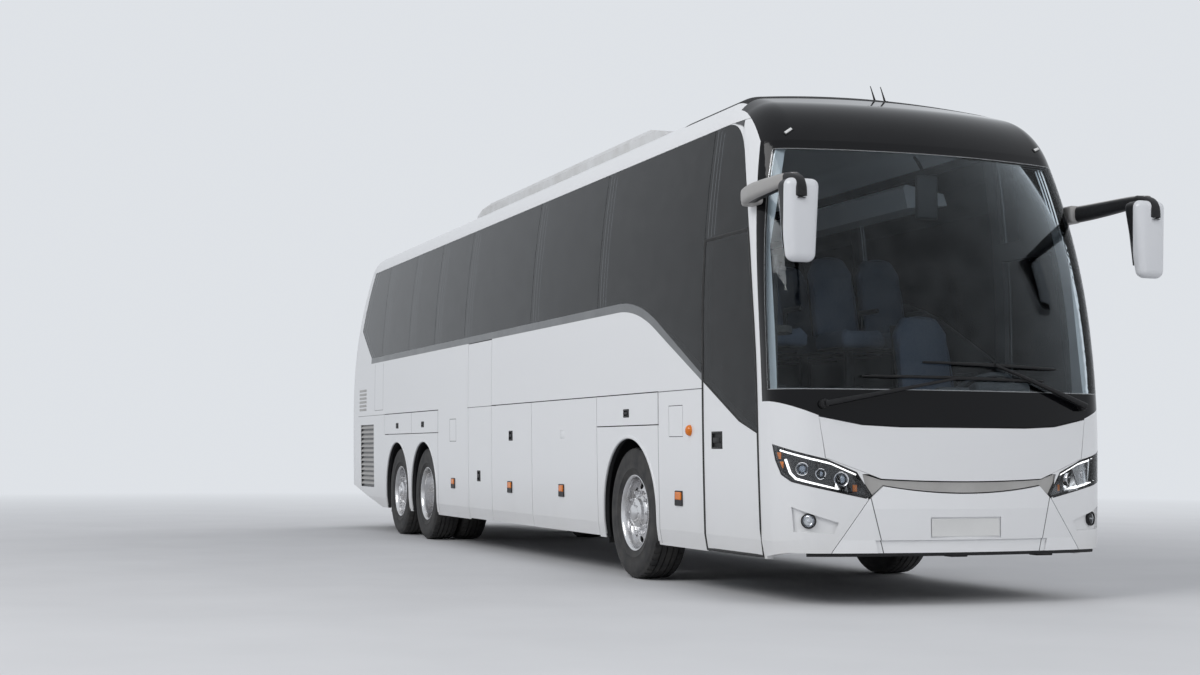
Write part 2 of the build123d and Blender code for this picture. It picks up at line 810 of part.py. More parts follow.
# Roof air-conditioning unit
pod_rear_x = datum - 8100
pod_front_x = datum - 2500
pod_top_z = 3742
pod_half = 900
hatch_places = (datum - 1700, datum - 9600)
with BuildPart() as roof_unit:
    with BuildSketch(Plane.XZ.offset(-pod_half)):
        with BuildLine():
            Polyline((pod_rear_x, 3560), (pod_rear_x, 3640), (pod_rear_x + 380, pod_top_z),
                     (pod_front_x - 500, pod_top_z), (pod_front_x, 3640), (pod_front_x, 3560), (pod_rear_x, 3560))
        make_face()
    extrude(amount=2 * pod_half)
    long_edges = roof_unit.edges().filter_by(Axis.X).group_by(Axis.Z)[-1]
    chamfer(long_edges, 50)
    for x in hatch_places:
        with Locations((x, 0, 3560)):
            Box(760, 680, 110, align=(Align.CENTER, Align.CENTER, Align.MIN))
    add(outer, mode=Mode.SUBTRACT)
keep(roof_unit, "roof_unit")

# Mirrors: head seen from the front, then the arm along the side and down into it
head_x = datum + 640
head_depth = 195
head_outline = [(1212, 2300), (1232, 2212), (1420, 2206), (1446, 2260), (1450, 2660), (1420, 2738), (1268, 2748),
                (1214, 2690)]
arm_line = [(datum - 110, 2700), (datum - 110, 2790), (datum + 300, 2806), (datum + 560, 2800), (datum + 700, 2748),
            (datum + 830, 2640), (datum + 760, 2640), (datum + 660, 2690), (datum + 540, 2716), (datum + 300, 2716)]
with BuildPart() as mirrors:
    with BuildSketch(Plane.YZ.offset(head_x)):
        with BuildLine():
            Polyline(*head_outline, head_outline[0])
        make_face()
    extrude(amount=head_depth)
    chamfer(mirrors.faces().sort_by(Axis.X)[-1].edges(), 40)
    with BuildSketch(Plane.XZ.offset(-1410)):
        with BuildLine():
            Polyline(*arm_line, arm_line[0])
        make_face()
    extrude(amount=110)
    with Locations((datum - 60, 1190, 2745)):
        Box(100, 260, 84)
    add(outer, mode=Mode.SUBTRACT)
    mirror(about=Plane.XZ)
keep(mirrors, "mirrors")

# Wipers: pivot Y and Z, blade ends (Y, Z), each standing just off the glass
wiper_rows = [
    ((-1000, 1325), (-740, 1512), (640, 1500)),
    ((984, 1333), (-306, 1610), (760, 1585)),
]


def on_glass(y, z, lift):
    """Point in front of the windscreen at a place seen from the front."""
    radius = arc_x(nose_bow - nose_lean_radius, nose_lean_z, nose_lean_radius, z) + lift
    return Vector(nose_x - nose_bow + sqrt(radius ** 2 - y ** 2), y, z)


with BuildPart() as wipers:
    for pivot, near, far in wiper_rows:
        middle = ((near[0] + far[0]) / 2, (near[1] + far[1]) / 2)
        with BuildLine() as blade_path:
            ThreePointArc(on_glass(*near, 26), on_glass(*middle, 26), on_glass(*far, 26))
        with BuildSketch(Plane(origin=blade_path.line @ 0, z_dir=blade_path.line % 0)):
            Rectangle(14, 22)
        sweep(path=blade_path.line)
        quarter = (middle[0] * 0.5 + pivot[0] * 0.5, middle[1] * 0.5 + pivot[1] * 0.5)
        with BuildLine() as arm_path:
            ThreePointArc(on_glass(*pivot, 48), on_glass(*quarter, 50), on_glass(*middle, 34))
        with BuildSketch(Plane(origin=arm_path.line @ 0, z_dir=arm_path.line % 0)):
            Rectangle(22, 12)
        sweep(path=arm_path.line)
        with Locations(Plane(origin=on_glass(*pivot, 2), z_dir=(1, 0, 0))):
            Cylinder(28, 58, align=(Align.CENTER, Align.CENTER, Align.MIN))
    add(outer, mode=Mode.SUBTRACT)
keep(wipers, "wipers")

# Running gear
def wheel_plane(axle_x):
    """Plane of the wheel's section: X up the radius, Y along the axle."""
    return Plane(origin=(axle_x, 0, tyre_radius), x_dir=(0, 0, 1), z_dir=(-1, 0, 0))


def axle_line(axle_x):
    return Axis((axle_x, 0, tyre_radius), (0, 1, 0))


# Wheels: name, side, axle X, Y of the tyres' middles, disc offset outwards from the outer tyre
hub_radius = 112
wheel_rows = []
for side, hand in ((1, "left"), (-1, "right")):
    wheel_rows.append((f"front_wheel_{hand}", side, front_axle_x, [wheel_y], 70))
    wheel_rows.append((f"drive_wheel_{hand}", side, drive_axle_x, [wheel_y, wheel_y - twin_step], -100))
    wheel_rows.append((f"tag_wheel_{hand}", side, tag_axle_x, [wheel_y], 70))

for name, side, axle_x, planes, disc in wheel_rows:
    with BuildPart() as tyre:
        for plane_y in planes:
            with Locations(Plane(origin=(axle_x, side * plane_y, tyre_radius), z_dir=(0, 1, 0))):
                Cylinder(tyre_radius, tyre_width)
                Cylinder(rim_radius, tyre_width, mode=Mode.SUBTRACT)
    keep(tyre, f"tyre_{name}")
    edge_y = planes[0] + tyre_width / 2 - 20
    inner_y = planes[-1] - tyre_width / 2 + 20
    disc_y = planes[0] + disc
    with BuildPart() as rim:
        with BuildSketch(wheel_plane(axle_x)):
            with BuildLine():
                section = [(rim_radius, edge_y), (rim_radius, inner_y), (rim_radius - 24, inner_y),
                           (rim_radius - 24, disc_y - 24), (0, disc_y - 24), (0, disc_y + 80), (hub_radius, disc_y + 50),
                           (hub_radius + 12, disc_y), (rim_radius - 24, disc_y - 8), (rim_radius - 24, edge_y)]
                section = [(r, side * y) for r, y in section]
                Polyline(*section, section[0])
            make_face()
        revolve(axis=axle_line(axle_x))
        with BuildSketch(Plane(origin=(axle_x, side * disc_y - 100, tyre_radius), z_dir=(0, 1, 0))):
            with PolarLocations(212, 10, 18):
                RegularPolygon(30, 6)
        extrude(amount=200, mode=Mode.SUBTRACT)
    keep(rim, f"rim_{name}")

# Front axle beam, knuckles, rear axles
spindle_y = wheel_y + 70 - 24 - 20
pin_radius = 22
for side, hand in ((1, "left"), (-1, "right")):
    with BuildPart() as knuckle:
        with Locations((front_axle_x, side * kingpin_y, tyre_radius - 20)):
            Cylinder(pin_radius, 230)
        for level in (-1, 1):
            with Locations((front_axle_x, side * (kingpin_y + 25), tyre_radius - 20 + level * 100)):
                Box(90, 140, 44)
        with Locations((front_axle_x, side * (kingpin_y + 85), tyre_radius - 20)):
            Box(110, 36, 244)
        with Locations(Plane(origin=(front_axle_x, side * (kingpin_y + 100), tyre_radius), z_dir=(0, side, 0))):
            Cylinder(200, 90, align=(Align.CENTER, Align.CENTER, Align.MIN))
            Cylinder(90, spindle_y - kingpin_y - 100, align=(Align.CENTER, Align.CENTER, Align.MIN))
    keep(knuckle, f"knuckle_{hand}")

with BuildPart() as axles:
    with Locations((front_axle_x, 0, tyre_radius - 20)):
        Box(100, 2 * kingpin_y - 60, 130)
    for side in (-1, 1):
        with Locations((front_axle_x, side * kingpin_y, tyre_radius - 20)):
            Cylinder(52, 150)
            Cylinder(pin_radius + 0.05, 150, mode=Mode.SUBTRACT)
    for axle_x, planes, disc in ((drive_axle_x, 2, -100), (tag_axle_x, 1, 70)):
        reach = wheel_y + disc - 24 - 20
        with Locations(Plane(origin=(axle_x, 0, tyre_radius), z_dir=(0, 1, 0))):
            Cylinder(85, 2 * reach)
            Cylinder(200, 2 * reach - 80)
            Cylinder(205, 2 * reach - 260, mode=Mode.SUBTRACT)
            Cylinder(85, 2 * reach)
            if disc < 0:
                Cylinder(215, 330)
keep(axles, "axles")

# Underframe
rail_y = 390
rails = [(datum - 3110, nose_x - 420, 670), (tail_x + 420, datum - 8310, 790)]
rail_height = 160
pads = [(front_axle_x + 480, 570), (drive_axle_x + 550, 690)]
with BuildPart() as chassis:
    for x0, x1, z in rails:
        for side in (-1, 1):
            with Locations(((x0 + x1) / 2, side * rail_y, z)):
                Box(x1 - x0, 80, rail_height)
        count = 4
        for index in range(count):
            x = x0 + 60 + (x1 - x0 - 120) * index / (count - 1)
            with Locations((x, 0, z)):
                Box(100, 2 * rail_y, 120)
    for x, z in pads:
        for side in (-1, 1):
            with Locations((x, side * rail_y, z)):
                Box(160, 120, 60)
    for x in (datum - 3150, datum - 8270):
        with Locations((x, 0, 880)):
            Box(60, 2360, 1000)
    for side in (-1, 1):
        with Locations((datum - 5710, side * 1120, 400)):
            Box(5040, 60, 60)
keep(chassis, "chassis")

deck_z = 1500
hold_z = 430
cab_z = 1000
# Floor boards and steps that butt against each other: spans in X, Y and Z
floor_plates = [
    ((tail_x + 420, datum - 7060), (-1140, 1140), (deck_z - 60, deck_z)),
    ((datum - 7060, datum - 6260), (-600, 1140), (deck_z - 60, deck_z)),
    ((datum - 6260, datum - 1310), (-1140, 1140), (deck_z - 60, deck_z)),
    ((datum - 1310, datum - 1270), (-1140, 1140), (cab_z - 30, deck_z)),
    ((datum - 1270, datum + 310), (-380, 1180), (cab_z - 60, cab_z)),
    ((datum - 8240, datum - 3180), (-1090, 1090), (hold_z, hold_z + 20)),
    ((datum - 7060, datum - 6260), (-1100, -600), (hold_z + 20, 860)),
    ((datum - 7060, datum - 6260), (-780, -600), (860, 1160)),
    ((datum - 910, datum - 10), (-1150, -700), (360, 420)),
    ((datum - 910, datum - 10), (-700, -450), (360, 680)),
]
floor_pieces = []
for x_span, y_span, z_span in floor_plates:
    with BuildPart() as plate:
        with Locations((sum(x_span) / 2, sum(y_span) / 2, sum(z_span) / 2)):
            Box(x_span[1] - x_span[0], y_span[1] - y_span[0], z_span[1] - z_span[0])
        add(inner, mode=Mode.INTERSECT)
        add(lamp_zone.part, mode=Mode.SUBTRACT)
    floor_pieces += plate.solids()
export_step(Compound(label="floors", children=floor_pieces), "parts/floors.step")

# Wheel housings: name of side, axle X, inner Y
with BuildPart() as wheel_housings:
    for axle_x, inner_y, room in ((front_axle_x, 470, 55), (drive_axle_x, 560, 10), (tag_axle_x, 560, 10)):
        with BuildSketch(Plane.XZ.offset(-1215)):
            add(arch_outline(axle_x, room + 15))
            add(arch_outline(axle_x, room), mode=Mode.SUBTRACT)
            with Locations((axle_x, 150)):
                Rectangle(1600, 320, mode=Mode.SUBTRACT)
        extrude(amount=1215 - inner_y)
    mirror(about=Plane.XZ)
    add(inner, mode=Mode.INTERSECT)
keep(wheel_housings, "wheel_housings")

with BuildPart() as engine:
    with Locations((tail_x + 1000, 0, 1145)):
        Box(1150, 690, 560)
    fillet(engine.edges().filter_by(Axis.X), 60)
keep(engine, "engine")

# Cockpit
with BuildPart() as dashboard:
    with BuildSketch(Plane.XZ.offset(-1180)):
        with BuildLine():
            Polyline((nose_x - 700, cab_z), (nose_x - 640, 1360), (nose_x - 560, 1420), (nose_x - 330, 1360),
                     (nose_x - 300, cab_z), (nose_x - 700, cab_z))
        make_face()
    extrude(amount=1880)
    fillet(dashboard.edges().filter_by(Axis.Y).group_by(Axis.Z)[-1], 40)
    add(inner, mode=Mode.INTERSECT)

wheel_hub = (nose_x - 800, 640, 1460)
with BuildPart() as steering_wheel:
    tilted = Plane(origin=wheel_hub, z_dir=(-0.5, 0, 0.86))
    with BuildSketch(Plane(origin=wheel_hub, x_dir=(0, 1, 0), z_dir=(-0.86, 0, -0.5))):
        with Locations((220, 0)):
            RegularPolygon(16, 6)
    revolve(axis=Axis(wheel_hub, (-0.5, 0, 0.86)))
    with Locations(tilted):
        Cylinder(60, 40)
        Box(430, 36, 14)
        Cylinder(35, 420, align=(Align.CENTER, Align.CENTER, Align.MAX))
    add(dashboard.part, mode=Mode.SUBTRACT)

with BuildPart() as cockpit:
    add(dashboard.part)
    add(steering_wheel.part)
keep(cockpit, "dashboard")

# Seats: rows along the saloon, pairs each side of the aisle
seat_pitch = 790
seat_rows = 13
first_seat_x = datum - 1900


def seat_profile(x, z):
    """Side view of a seat: cushion and reclined back."""
    with BuildSketch() as outline:
        with BuildLine():
            Polyline((x + 460, z + 330), (x + 470, z + 440), (x + 60, z + 450), (x - 90, z + 1130),
                     (x - 190, z + 1110), (x - 60, z + 330), (x + 460, z + 330))
        make_face()
        fillet(outline.vertices().group_by(Axis.Y)[-1], 40)
    return outline.sketch


with BuildPart() as seats:
    for row in range(seat_rows):
        x = first_seat_x - row * seat_pitch
        for side in (-1, 1):
            if side < 0 and abs(x - (datum - 6500)) < 760:
                continue
            for place in (340, 780):
                with BuildSketch(Plane.XZ.offset(-(side * place + 210))):
                    add(seat_profile(x, deck_z))
                extrude(amount=420)
            with Locations((x + 180, side * 560, deck_z + 165)):
                Box(300, 500, 330)
    with BuildSketch(Plane.XZ.offset(-(640 + 250))):
        add(seat_profile(nose_x - 1540, cab_z - 40))
    extrude(amount=500)
    with Locations((nose_x - 1340, 640, cab_z + 145)):
        Box(320, 360, 290)
keep(seats, "seats")

# Door drive: turning post and two swan-neck arms
post_x = datum - 60
post_y = -1120
arm_length = 450
arm_bulge = 200
with BuildPart() as door_arm:
    with Locations((post_x, post_y, 1400)):
        Cylinder(24, 1900)
    for z in (760, 1850):
        with BuildLine(Plane.XY.offset(z)) as arm_path:
            ThreePointArc((post_x, post_y), (post_x - arm_length / 2, post_y + arm_bulge),
                          (post_x - arm_length, post_y))
        with BuildSketch(Plane(origin=arm_path.line @ 0, z_dir=arm_path.line % 0)):
            Rectangle(36, 50)
        sweep(path=arm_path.line)
        with Locations((post_x - arm_length, post_y, z)):
            Cylinder(30, 60)
keep(door_arm, "door_arm")

# Luggage racks over the seats: inner edge, outer edge
with BuildPart() as racks:
    for side in (-1, 1):
        with BuildSketch(Plane.YZ.offset(tail_x + 700)):
            with BuildLine():
                Polyline((side * 760, 2960), (side * 720, 3120), (side * 740, 3150), (side * 1090, 3090),
                         (side * 1120, 3000), (side * 760, 2960))
            make_face()
        extrude(amount=datum - 1500 - tail_x - 700)
    add(inner, mode=Mode.INTERSECT)
keep(racks, "luggage_racks")

# Louvres in the rear sides: slats that fall outwards in the pocket
slat_step = 60
with BuildPart() as louvres:
    for side in (-1, 1):
        for index in range(13):
            z = 580 + index * slat_step
            face_y = half_width - (waist_z - z) ** 2 / (2 * lower_side_radius)
            with BuildSketch(Plane.YZ.offset(datum - 12275)):
                with BuildLine():
                    Polyline((side * (face_y - 18), z + 34), (side * face_y, z + 6), (side * face_y, z),
                             (side * (face_y - 18), z + 24), (side * (face_y - 18), z + 34))
                make_face()
            extrude(amount=740)
    add(outer, mode=Mode.INTERSECT)
keep(louvres, "louvres")

# Mud flaps behind the front wheels and behind the last axle: X
with BuildPart() as mud_flaps:
    for x in (front_axle_x - 672, tag_axle_x - 630):
        for side in (-1, 1):
            with Locations((x, side * 1048, 430)):
                Box(8, 256, 360)
keep(mud_flaps, "mud_flaps")
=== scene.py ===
import json
import math

import bpy
from mathutils import Matrix, Vector
from mathutils.bvhtree import BVHTree


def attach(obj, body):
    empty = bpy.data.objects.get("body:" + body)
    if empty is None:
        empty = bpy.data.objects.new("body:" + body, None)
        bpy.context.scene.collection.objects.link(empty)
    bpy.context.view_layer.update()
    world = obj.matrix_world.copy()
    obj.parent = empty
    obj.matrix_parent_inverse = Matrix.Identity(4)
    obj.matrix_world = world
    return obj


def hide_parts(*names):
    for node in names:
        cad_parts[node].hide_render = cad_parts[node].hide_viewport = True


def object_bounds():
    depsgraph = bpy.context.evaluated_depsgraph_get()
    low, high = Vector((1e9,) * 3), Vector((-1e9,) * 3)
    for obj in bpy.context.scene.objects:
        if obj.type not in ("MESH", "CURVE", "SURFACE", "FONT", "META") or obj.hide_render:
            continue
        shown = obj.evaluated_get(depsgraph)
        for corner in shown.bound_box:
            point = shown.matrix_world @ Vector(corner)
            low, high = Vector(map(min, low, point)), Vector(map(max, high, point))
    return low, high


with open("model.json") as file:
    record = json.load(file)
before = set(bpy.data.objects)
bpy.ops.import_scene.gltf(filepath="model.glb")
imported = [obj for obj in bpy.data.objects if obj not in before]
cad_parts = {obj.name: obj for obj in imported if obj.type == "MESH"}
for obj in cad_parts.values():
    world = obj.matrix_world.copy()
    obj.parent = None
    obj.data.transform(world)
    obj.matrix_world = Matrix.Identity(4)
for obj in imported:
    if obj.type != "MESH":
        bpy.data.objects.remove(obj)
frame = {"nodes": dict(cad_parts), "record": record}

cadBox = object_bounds()
nodes = frame["nodes"]
doorFront = 6.060          # X of the front edge of the entrance door
axles = {"front": doorFront - 2.420, "drive": doorFront - 8.980, "tag": doorFront - 10.260}
axleHeight = 0.5225
wheelPlane = 1.085         # Y of the middle plane of the outer wheels
thinnest = 0.0002          # radius that stands for the middle of a turned piece
hands = ((1, "Left"), (-1, "Right"))

# Section of the body's sides: an arc above and one below the widest line, and a straight foot
bodySettings = {
    "half": 1.278, "widest": 1.9, "highRadius": 9.525, "lowRadius": 46.0,
    "footTop": 0.423, "sill": 0.3, "sillHalf": 1.232, "footLean": 0.0223, "footSlope": 0.18,
}


# Small helpers for modelling
def clearSelection():
    if bpy.context.object and bpy.context.object.mode == "EDIT":
        bpy.ops.object.mode_set(mode="OBJECT")
    bpy.ops.object.select_all(action="DESELECT")


def makeActive(piece):
    clearSelection()
    piece.select_set(True)
    bpy.context.view_layer.objects.active = piece


def settle(piece, name=None):
    makeActive(piece)
    bpy.ops.object.transform_apply(location=True, rotation=True, scale=True)
    if name:
        piece.name = name
        piece.data.name = name
    return piece


def editMesh(piece, action="DESELECT", kind="VERT"):
    makeActive(piece)
    bpy.ops.object.mode_set(mode="EDIT")
    bpy.ops.mesh.select_mode(type=kind)
    bpy.ops.mesh.select_all(action=action)


def leaveEdit():
    bpy.ops.object.mode_set(mode="OBJECT")


def pickFaces(piece, test):
    # faces whose middle and normal pass the test end up selected, in edit mode
    editMesh(piece, kind="FACE")
    leaveEdit()
    for face in piece.data.polygons:
        face.select = bool(test(face.center, face.normal))
    bpy.ops.object.mode_set(mode="EDIT")


def insetFaces(piece, test, *steps):
    # each step is the thickness and the depth of one inset of the picked faces
    pickFaces(piece, test)
    for thickness, depth in steps:
        bpy.ops.mesh.inset(thickness=thickness, depth=depth)
    leaveEdit()


def applyModifier(piece, kind, **settings):
    makeActive(piece)
    modifier = piece.modifiers.new(kind.title(), kind)
    for key, value in settings.items():
        setattr(modifier, key, value)
    bpy.ops.object.modifier_apply(modifier=modifier.name)


def fixNormals(piece):
    editMesh(piece, "SELECT")
    bpy.ops.mesh.remove_doubles(threshold=0.00005)
    bpy.ops.mesh.normals_make_consistent(inside=False)
    leaveEdit()


def copyOf(piece, name):
    twin = piece.copy()
    twin.data = piece.data.copy()
    twin.name = name
    twin.data.name = name
    bpy.context.scene.collection.objects.link(twin)
    return twin


def joined(pieces, name):
    makeActive(pieces[0])
    for piece in pieces:
        piece.select_set(True)
    bpy.ops.object.join()
    return settle(bpy.context.object, name)


def moved(piece, offset=(0, 0, 0), turn=(0, 0, 0), scale=(1, 1, 1)):
    makeActive(piece)
    piece.matrix_world = (Matrix.Translation(Vector(offset))
                          @ Matrix.Rotation(turn[2], 4, "Z") @ Matrix.Rotation(turn[1], 4, "Y")
                          @ Matrix.Rotation(turn[0], 4, "X") @ Matrix.Diagonal((*scale, 1)))
    bpy.ops.object.transform_apply(location=True, rotation=True, scale=True)
    if scale[0] * scale[1] * scale[2] < 0:
        fixNormals(piece)
    return piece


def aimed(piece, place, direction):
    # the piece's own Y axis is turned to the direction
    makeActive(piece)
    turn = Vector((0, 1, 0)).rotation_difference(Vector(direction).normalized())
    piece.matrix_world = Matrix.Translation(Vector(place)) @ turn.to_matrix().to_4x4()
    bpy.ops.object.transform_apply(location=True, rotation=True, scale=True)
    return piece


def mirrored(piece, name):
    return moved(copyOf(piece, name), scale=(1, -1, 1))


def block(name, centre, size, bevel=0.0, segments=2, turn=(0, 0, 0)):
    clearSelection()
    bpy.ops.mesh.primitive_cube_add(size=1)
    piece = bpy.context.object
    moved(piece, scale=size)
    if bevel:
        applyModifier(piece, "BEVEL", width=bevel, segments=segments, limit_method="NONE")
    moved(piece, offset=centre, turn=turn)
    return settle(piece, name)


def rod(name, centre, radius, length, axis="Z", vertices=32, bevel=0.0):
    clearSelection()
    bpy.ops.mesh.primitive_cylinder_add(vertices=vertices, radius=radius, depth=length)
    piece = bpy.context.object
    if bevel:
        applyModifier(piece, "BEVEL", width=bevel, segments=2, limit_method="ANGLE",
                      angle_limit=math.radians(50))
    moved(piece, offset=centre, turn=(-math.pi / 2 if axis == "Y" else 0, 0, 0))
    return settle(piece, name)


def turned(name, outline, segments=96):
    # a ring drawn out step by step: the outline is (radius, place along Y)
    clearSelection()
    radius, place = max(outline[0][0], thinnest), outline[0][1]
    bpy.ops.mesh.primitive_circle_add(vertices=segments, radius=radius, location=(0, 0, place))
    piece = settle(bpy.context.object)
    editMesh(piece, "SELECT")
    for nextRadius, nextPlace in outline[1:]:
        nextRadius = max(nextRadius, thinnest)
        grow = nextRadius / radius
        bpy.ops.mesh.extrude_edges_move(TRANSFORM_OT_translate={"value": (0, 0, nextPlace - place)})
        bpy.ops.transform.resize(value=(grow, grow, 1), center_override=(0, 0, nextPlace))
        radius, place = nextRadius, nextPlace
    leaveEdit()
    moved(piece, turn=(-math.pi / 2, 0, 0))
    fixNormals(piece)
    return settle(piece, name)


def sectionRing(width, height, corner):
    clearSelection()
    bpy.ops.mesh.primitive_plane_add(size=1)
    ring = moved(bpy.context.object, scale=(width, height, 1))
    editMesh(ring, "SELECT")
    bpy.ops.mesh.bevel(offset=corner, segments=3, affect="VERTICES")
    leaveEdit()
    bpy.ops.object.convert(target="CURVE")
    return bpy.context.object


def swept(name, points, width, height, radii=None, closed=False, curved=True, twist="MINIMUM"):
    # a bar with a rounded section along a line of points
    ring = sectionRing(width, height, min(width, height) * 0.35)
    clearSelection()
    bpy.ops.curve.primitive_nurbs_path_add()
    path = bpy.context.object
    line = path.data
    line.splines.clear()
    spline = line.splines.new("NURBS" if curved else "POLY")
    spline.points.add(len(points) - 1)
    for index, point in enumerate(points):
        spline.points[index].co = (*point, 1)
        spline.points[index].radius = radii[index] if radii else 1
    spline.use_cyclic_u = closed
    if curved:
        spline.order_u = 3
        spline.use_endpoint_u = not closed
        spline.resolution_u = 5
    line.dimensions = "3D"
    line.twist_mode = twist
    line.bevel_mode = "OBJECT"
    line.bevel_object = ring
    line.use_fill_caps = not closed
    makeActive(path)
    bpy.ops.object.convert(target="MESH")
    bar = bpy.context.object
    bpy.data.objects.remove(ring)
    fixNormals(bar)
    return settle(bar, name)


def finish(piece, material, body="body", slotName=None, smoothAngle=35):
    piece.data.materials.clear()
    piece.data.materials.append(material)
    makeActive(piece)
    bpy.ops.object.shade_smooth_by_angle(angle=math.radians(smoothAngle))
    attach(piece, body)
    return piece


def bothSides(rows, slotName=None, replaced=None):
    # right-hand pieces and their mirror images; the first row may stand in for a CAD node
    for index, (piece, material) in enumerate(rows):
        for whole in (piece, mirrored(piece, piece.name + "Left")):
            finish(whole, material, "body", slotName)
            if replaced and index == 0:
                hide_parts(replaced)


# Shader maths: one socket, with the operators that are used
class Wire:
    def __init__(self, tree, socket):
        self.tree = tree
        self.socket = socket

    def node(self, kind, settings=None, inputs=None, output=0):
        made = self.tree.nodes.new(kind)
        for key, value in (settings or {}).items():
            setattr(made, key, value)
        for key, value in (inputs or {}).items():
            if isinstance(value, Wire):
                self.tree.links.new(value.socket, made.inputs[key])
            else:
                made.inputs[key].default_value = value
        return Wire(self.tree, made.outputs[output])

    def sum(self, operation, *others, clamp=False):
        return self.node("ShaderNodeMath", {"operation": operation, "use_clamp": clamp},
                         dict(enumerate(others)))

    def put(self, operation, *others):
        return self.sum(operation, self, *others)

    def __add__(self, other):
        return self.sum("ADD", self, other)

    __radd__ = __add__

    def __sub__(self, other):
        return self.sum("SUBTRACT", self, other)

    def __rsub__(self, other):
        return self.sum("SUBTRACT", other, self)

    def __mul__(self, other):
        return self.sum("MULTIPLY", self, other)

    def __truediv__(self, other):
        return self.sum("DIVIDE", self, other)

    def size(self):
        return self.put("ABSOLUTE")

    def positive(self):
        return self.put("MAXIMUM", 0.0)

    def clamped(self):
        return self.sum("ADD", self, 0.0, clamp=True)

    def steps(self, low, high):
        return self.node("ShaderNodeMapRange", {"clamp": True},
                         {"Value": self, "From Min": low, "From Max": high})

    def past(self, edge, soft=0.001):
        # 0 before the edge and 1 after it
        return self.steps(edge - soft, edge + soft)

    def noise(self, scale, detail=4.0, roughness=0.55):
        return self.node("ShaderNodeTexNoise", {}, {"Vector": self, "Scale": scale, "Detail": detail,
                                                    "Roughness": roughness})

    def axis(self, index):
        return self.node("ShaderNodeSeparateXYZ", {}, {0: self}, output=index)

    def between(self, first, second):
        # colours mixed by this value
        return self.node("ShaderNodeMix", {"data_type": "RGBA"},
                         {0: self, 6: opaque(first), 7: opaque(second)}, output=2)


def opaque(tone):
    # a colour of three values gets its alpha; a wire stays as it is
    return tone if isinstance(tone, Wire) or len(tone) == 4 else (*tone, 1.0)


def newMaterial(name, **constants):
    material = bpy.data.materials.new(name)
    material.use_nodes = True
    tree = material.node_tree
    shader = tree.nodes["Principled BSDF"]
    for key, value in constants.items():
        shader.inputs[key.replace("_", " ")].default_value = value
    place = Wire(tree, tree.nodes.new("ShaderNodeTexCoord").outputs["Object"])
    return material, shader, place


def feed(shader, **wires):
    for key, wire in wires.items():
        wire.tree.links.new(wire.socket, shader.inputs[key.replace("_", " ")])


def bumped(shader, height, strength, distance):
    feed(shader, Normal=height.node("ShaderNodeBump", {}, {"Strength": strength, "Distance": distance,
                                                           "Height": height}))


# Body paint: white, dusty towards the sill, with painted shade (near black) on the faces behind the skin, and
# dark along the seams
paintSettings = {
    "white": (0.765, 0.77, 0.78), "dust": (0.60, 0.59, 0.57), "dustTop": 0.95, "dustFoot": 0.35,
    "rough": 0.32, "coat": 0.5, "coatRough": 0.14, "skin": 0.005, "behindSkinShade": (0.020, 0.020, 0.022),
    # the near-black tone for the faces behind the skin is painted shade
    "roofFront": 4.302, "roofHalf": 1.062, "roofBlack": (0.005, 0.005, 0.006),
}

# Panel seams of the sides that are no moving edges: level ones as (Z, rear X, front X) and
# upright ones as (X, low Z, high Z)
seamSettings = {
    "half": 0.0035, "tone": (0.035, 0.035, 0.038),
    "level": [(1.466, -6.38, -2.25), (1.466, -1.053, 0.0), (1.466, 4.292, 5.142),
              (1.356, -1.755, -1.503), (1.117, -1.755, -1.503), (1.527, -5.410, -4.950)],
    "upright": [(-2.262, 0.314, 1.466), (4.282, 0.314, 1.466), (-3.470, 1.224, 1.466),
                (-5.410, 1.527, 2.120), (-4.950, 1.527, 2.120), (-1.755, 1.117, 1.356),
                (-1.503, 1.117, 1.356)],
}


def behindSkin(place, depth):
    # 1 on faces that lie deeper than this behind the outside of the body's sides: the mask of the painted
    # shade there
    s = bodySettings
    z = place.axis(2)
    low = (s["widest"] - z).positive()
    high = (z - s["widest"]).positive()
    foot = (s["footTop"] - z).positive()
    half = (s["half"] - low * low / (2 * s["lowRadius"]) - high * high / (2 * s["highRadius"])
            - foot * s["footSlope"])
    return (half - place.axis(1).size()).past(depth)


def seamLines(place):
    half = seamSettings["half"]
    x, z = place.axis(0), place.axis(2)
    lines = []
    for along, across, rows in ((x, z, seamSettings["level"]), (z, x, seamSettings["upright"])):
        for middle, low, high in rows:
            near = 1 - (across - middle).size().past(half)
            lines.append(near * along.past(low) * (1 - along.past(high)))
    return sum(lines).clamped()


def frontRoof(place):
    # the roof is black from the cap back to its first seam, between the pale edges
    s = paintSettings
    return place.axis(0).past(s["roofFront"], 0.002) * (1 - place.axis(1).size().past(s["roofHalf"], 0.002))


def makePaint(name, white=paintSettings["white"], dust=paintSettings["dust"], shadedAndSeamed=False, blackFront=False):
    s = paintSettings
    material, shader, place = newMaterial(name, Coat_Roughness=s["coatRough"], Coat_Weight=s["coat"])
    low = 1 - place.axis(2).steps(s["dustFoot"], s["dustTop"])
    patches = place.noise(1.6, 2.0).steps(0.25, 0.85)
    film = (low * low * (0.20 + patches * 0.35)).clamped()
    tone = film.between(white, dust)
    rough = s["rough"] + film * 0.20 + place.noise(55.0, 3.0) * 0.03
    if shadedAndSeamed:
        # painted shade: faces behind the skin, such as window posts and the walls of gaps, are made near
        # black
        inner = behindSkin(place, s["skin"])
        tone = inner.between(tone, s["behindSkinShade"])
        tone = seamLines(place).between(tone, seamSettings["tone"])
        rough = rough + inner * 0.35
    if blackFront:
        front = frontRoof(place)
        tone = front.between(tone, s["roofBlack"])
        rough = rough + front * 0.5
        feed(shader, Coat_Weight=s["coat"] - front * s["coat"])
    feed(shader, Base_Color=tone, Roughness=rough)
    bumped(shader, place.noise(3.0, 2.0), 0.05, 0.002)
    return material


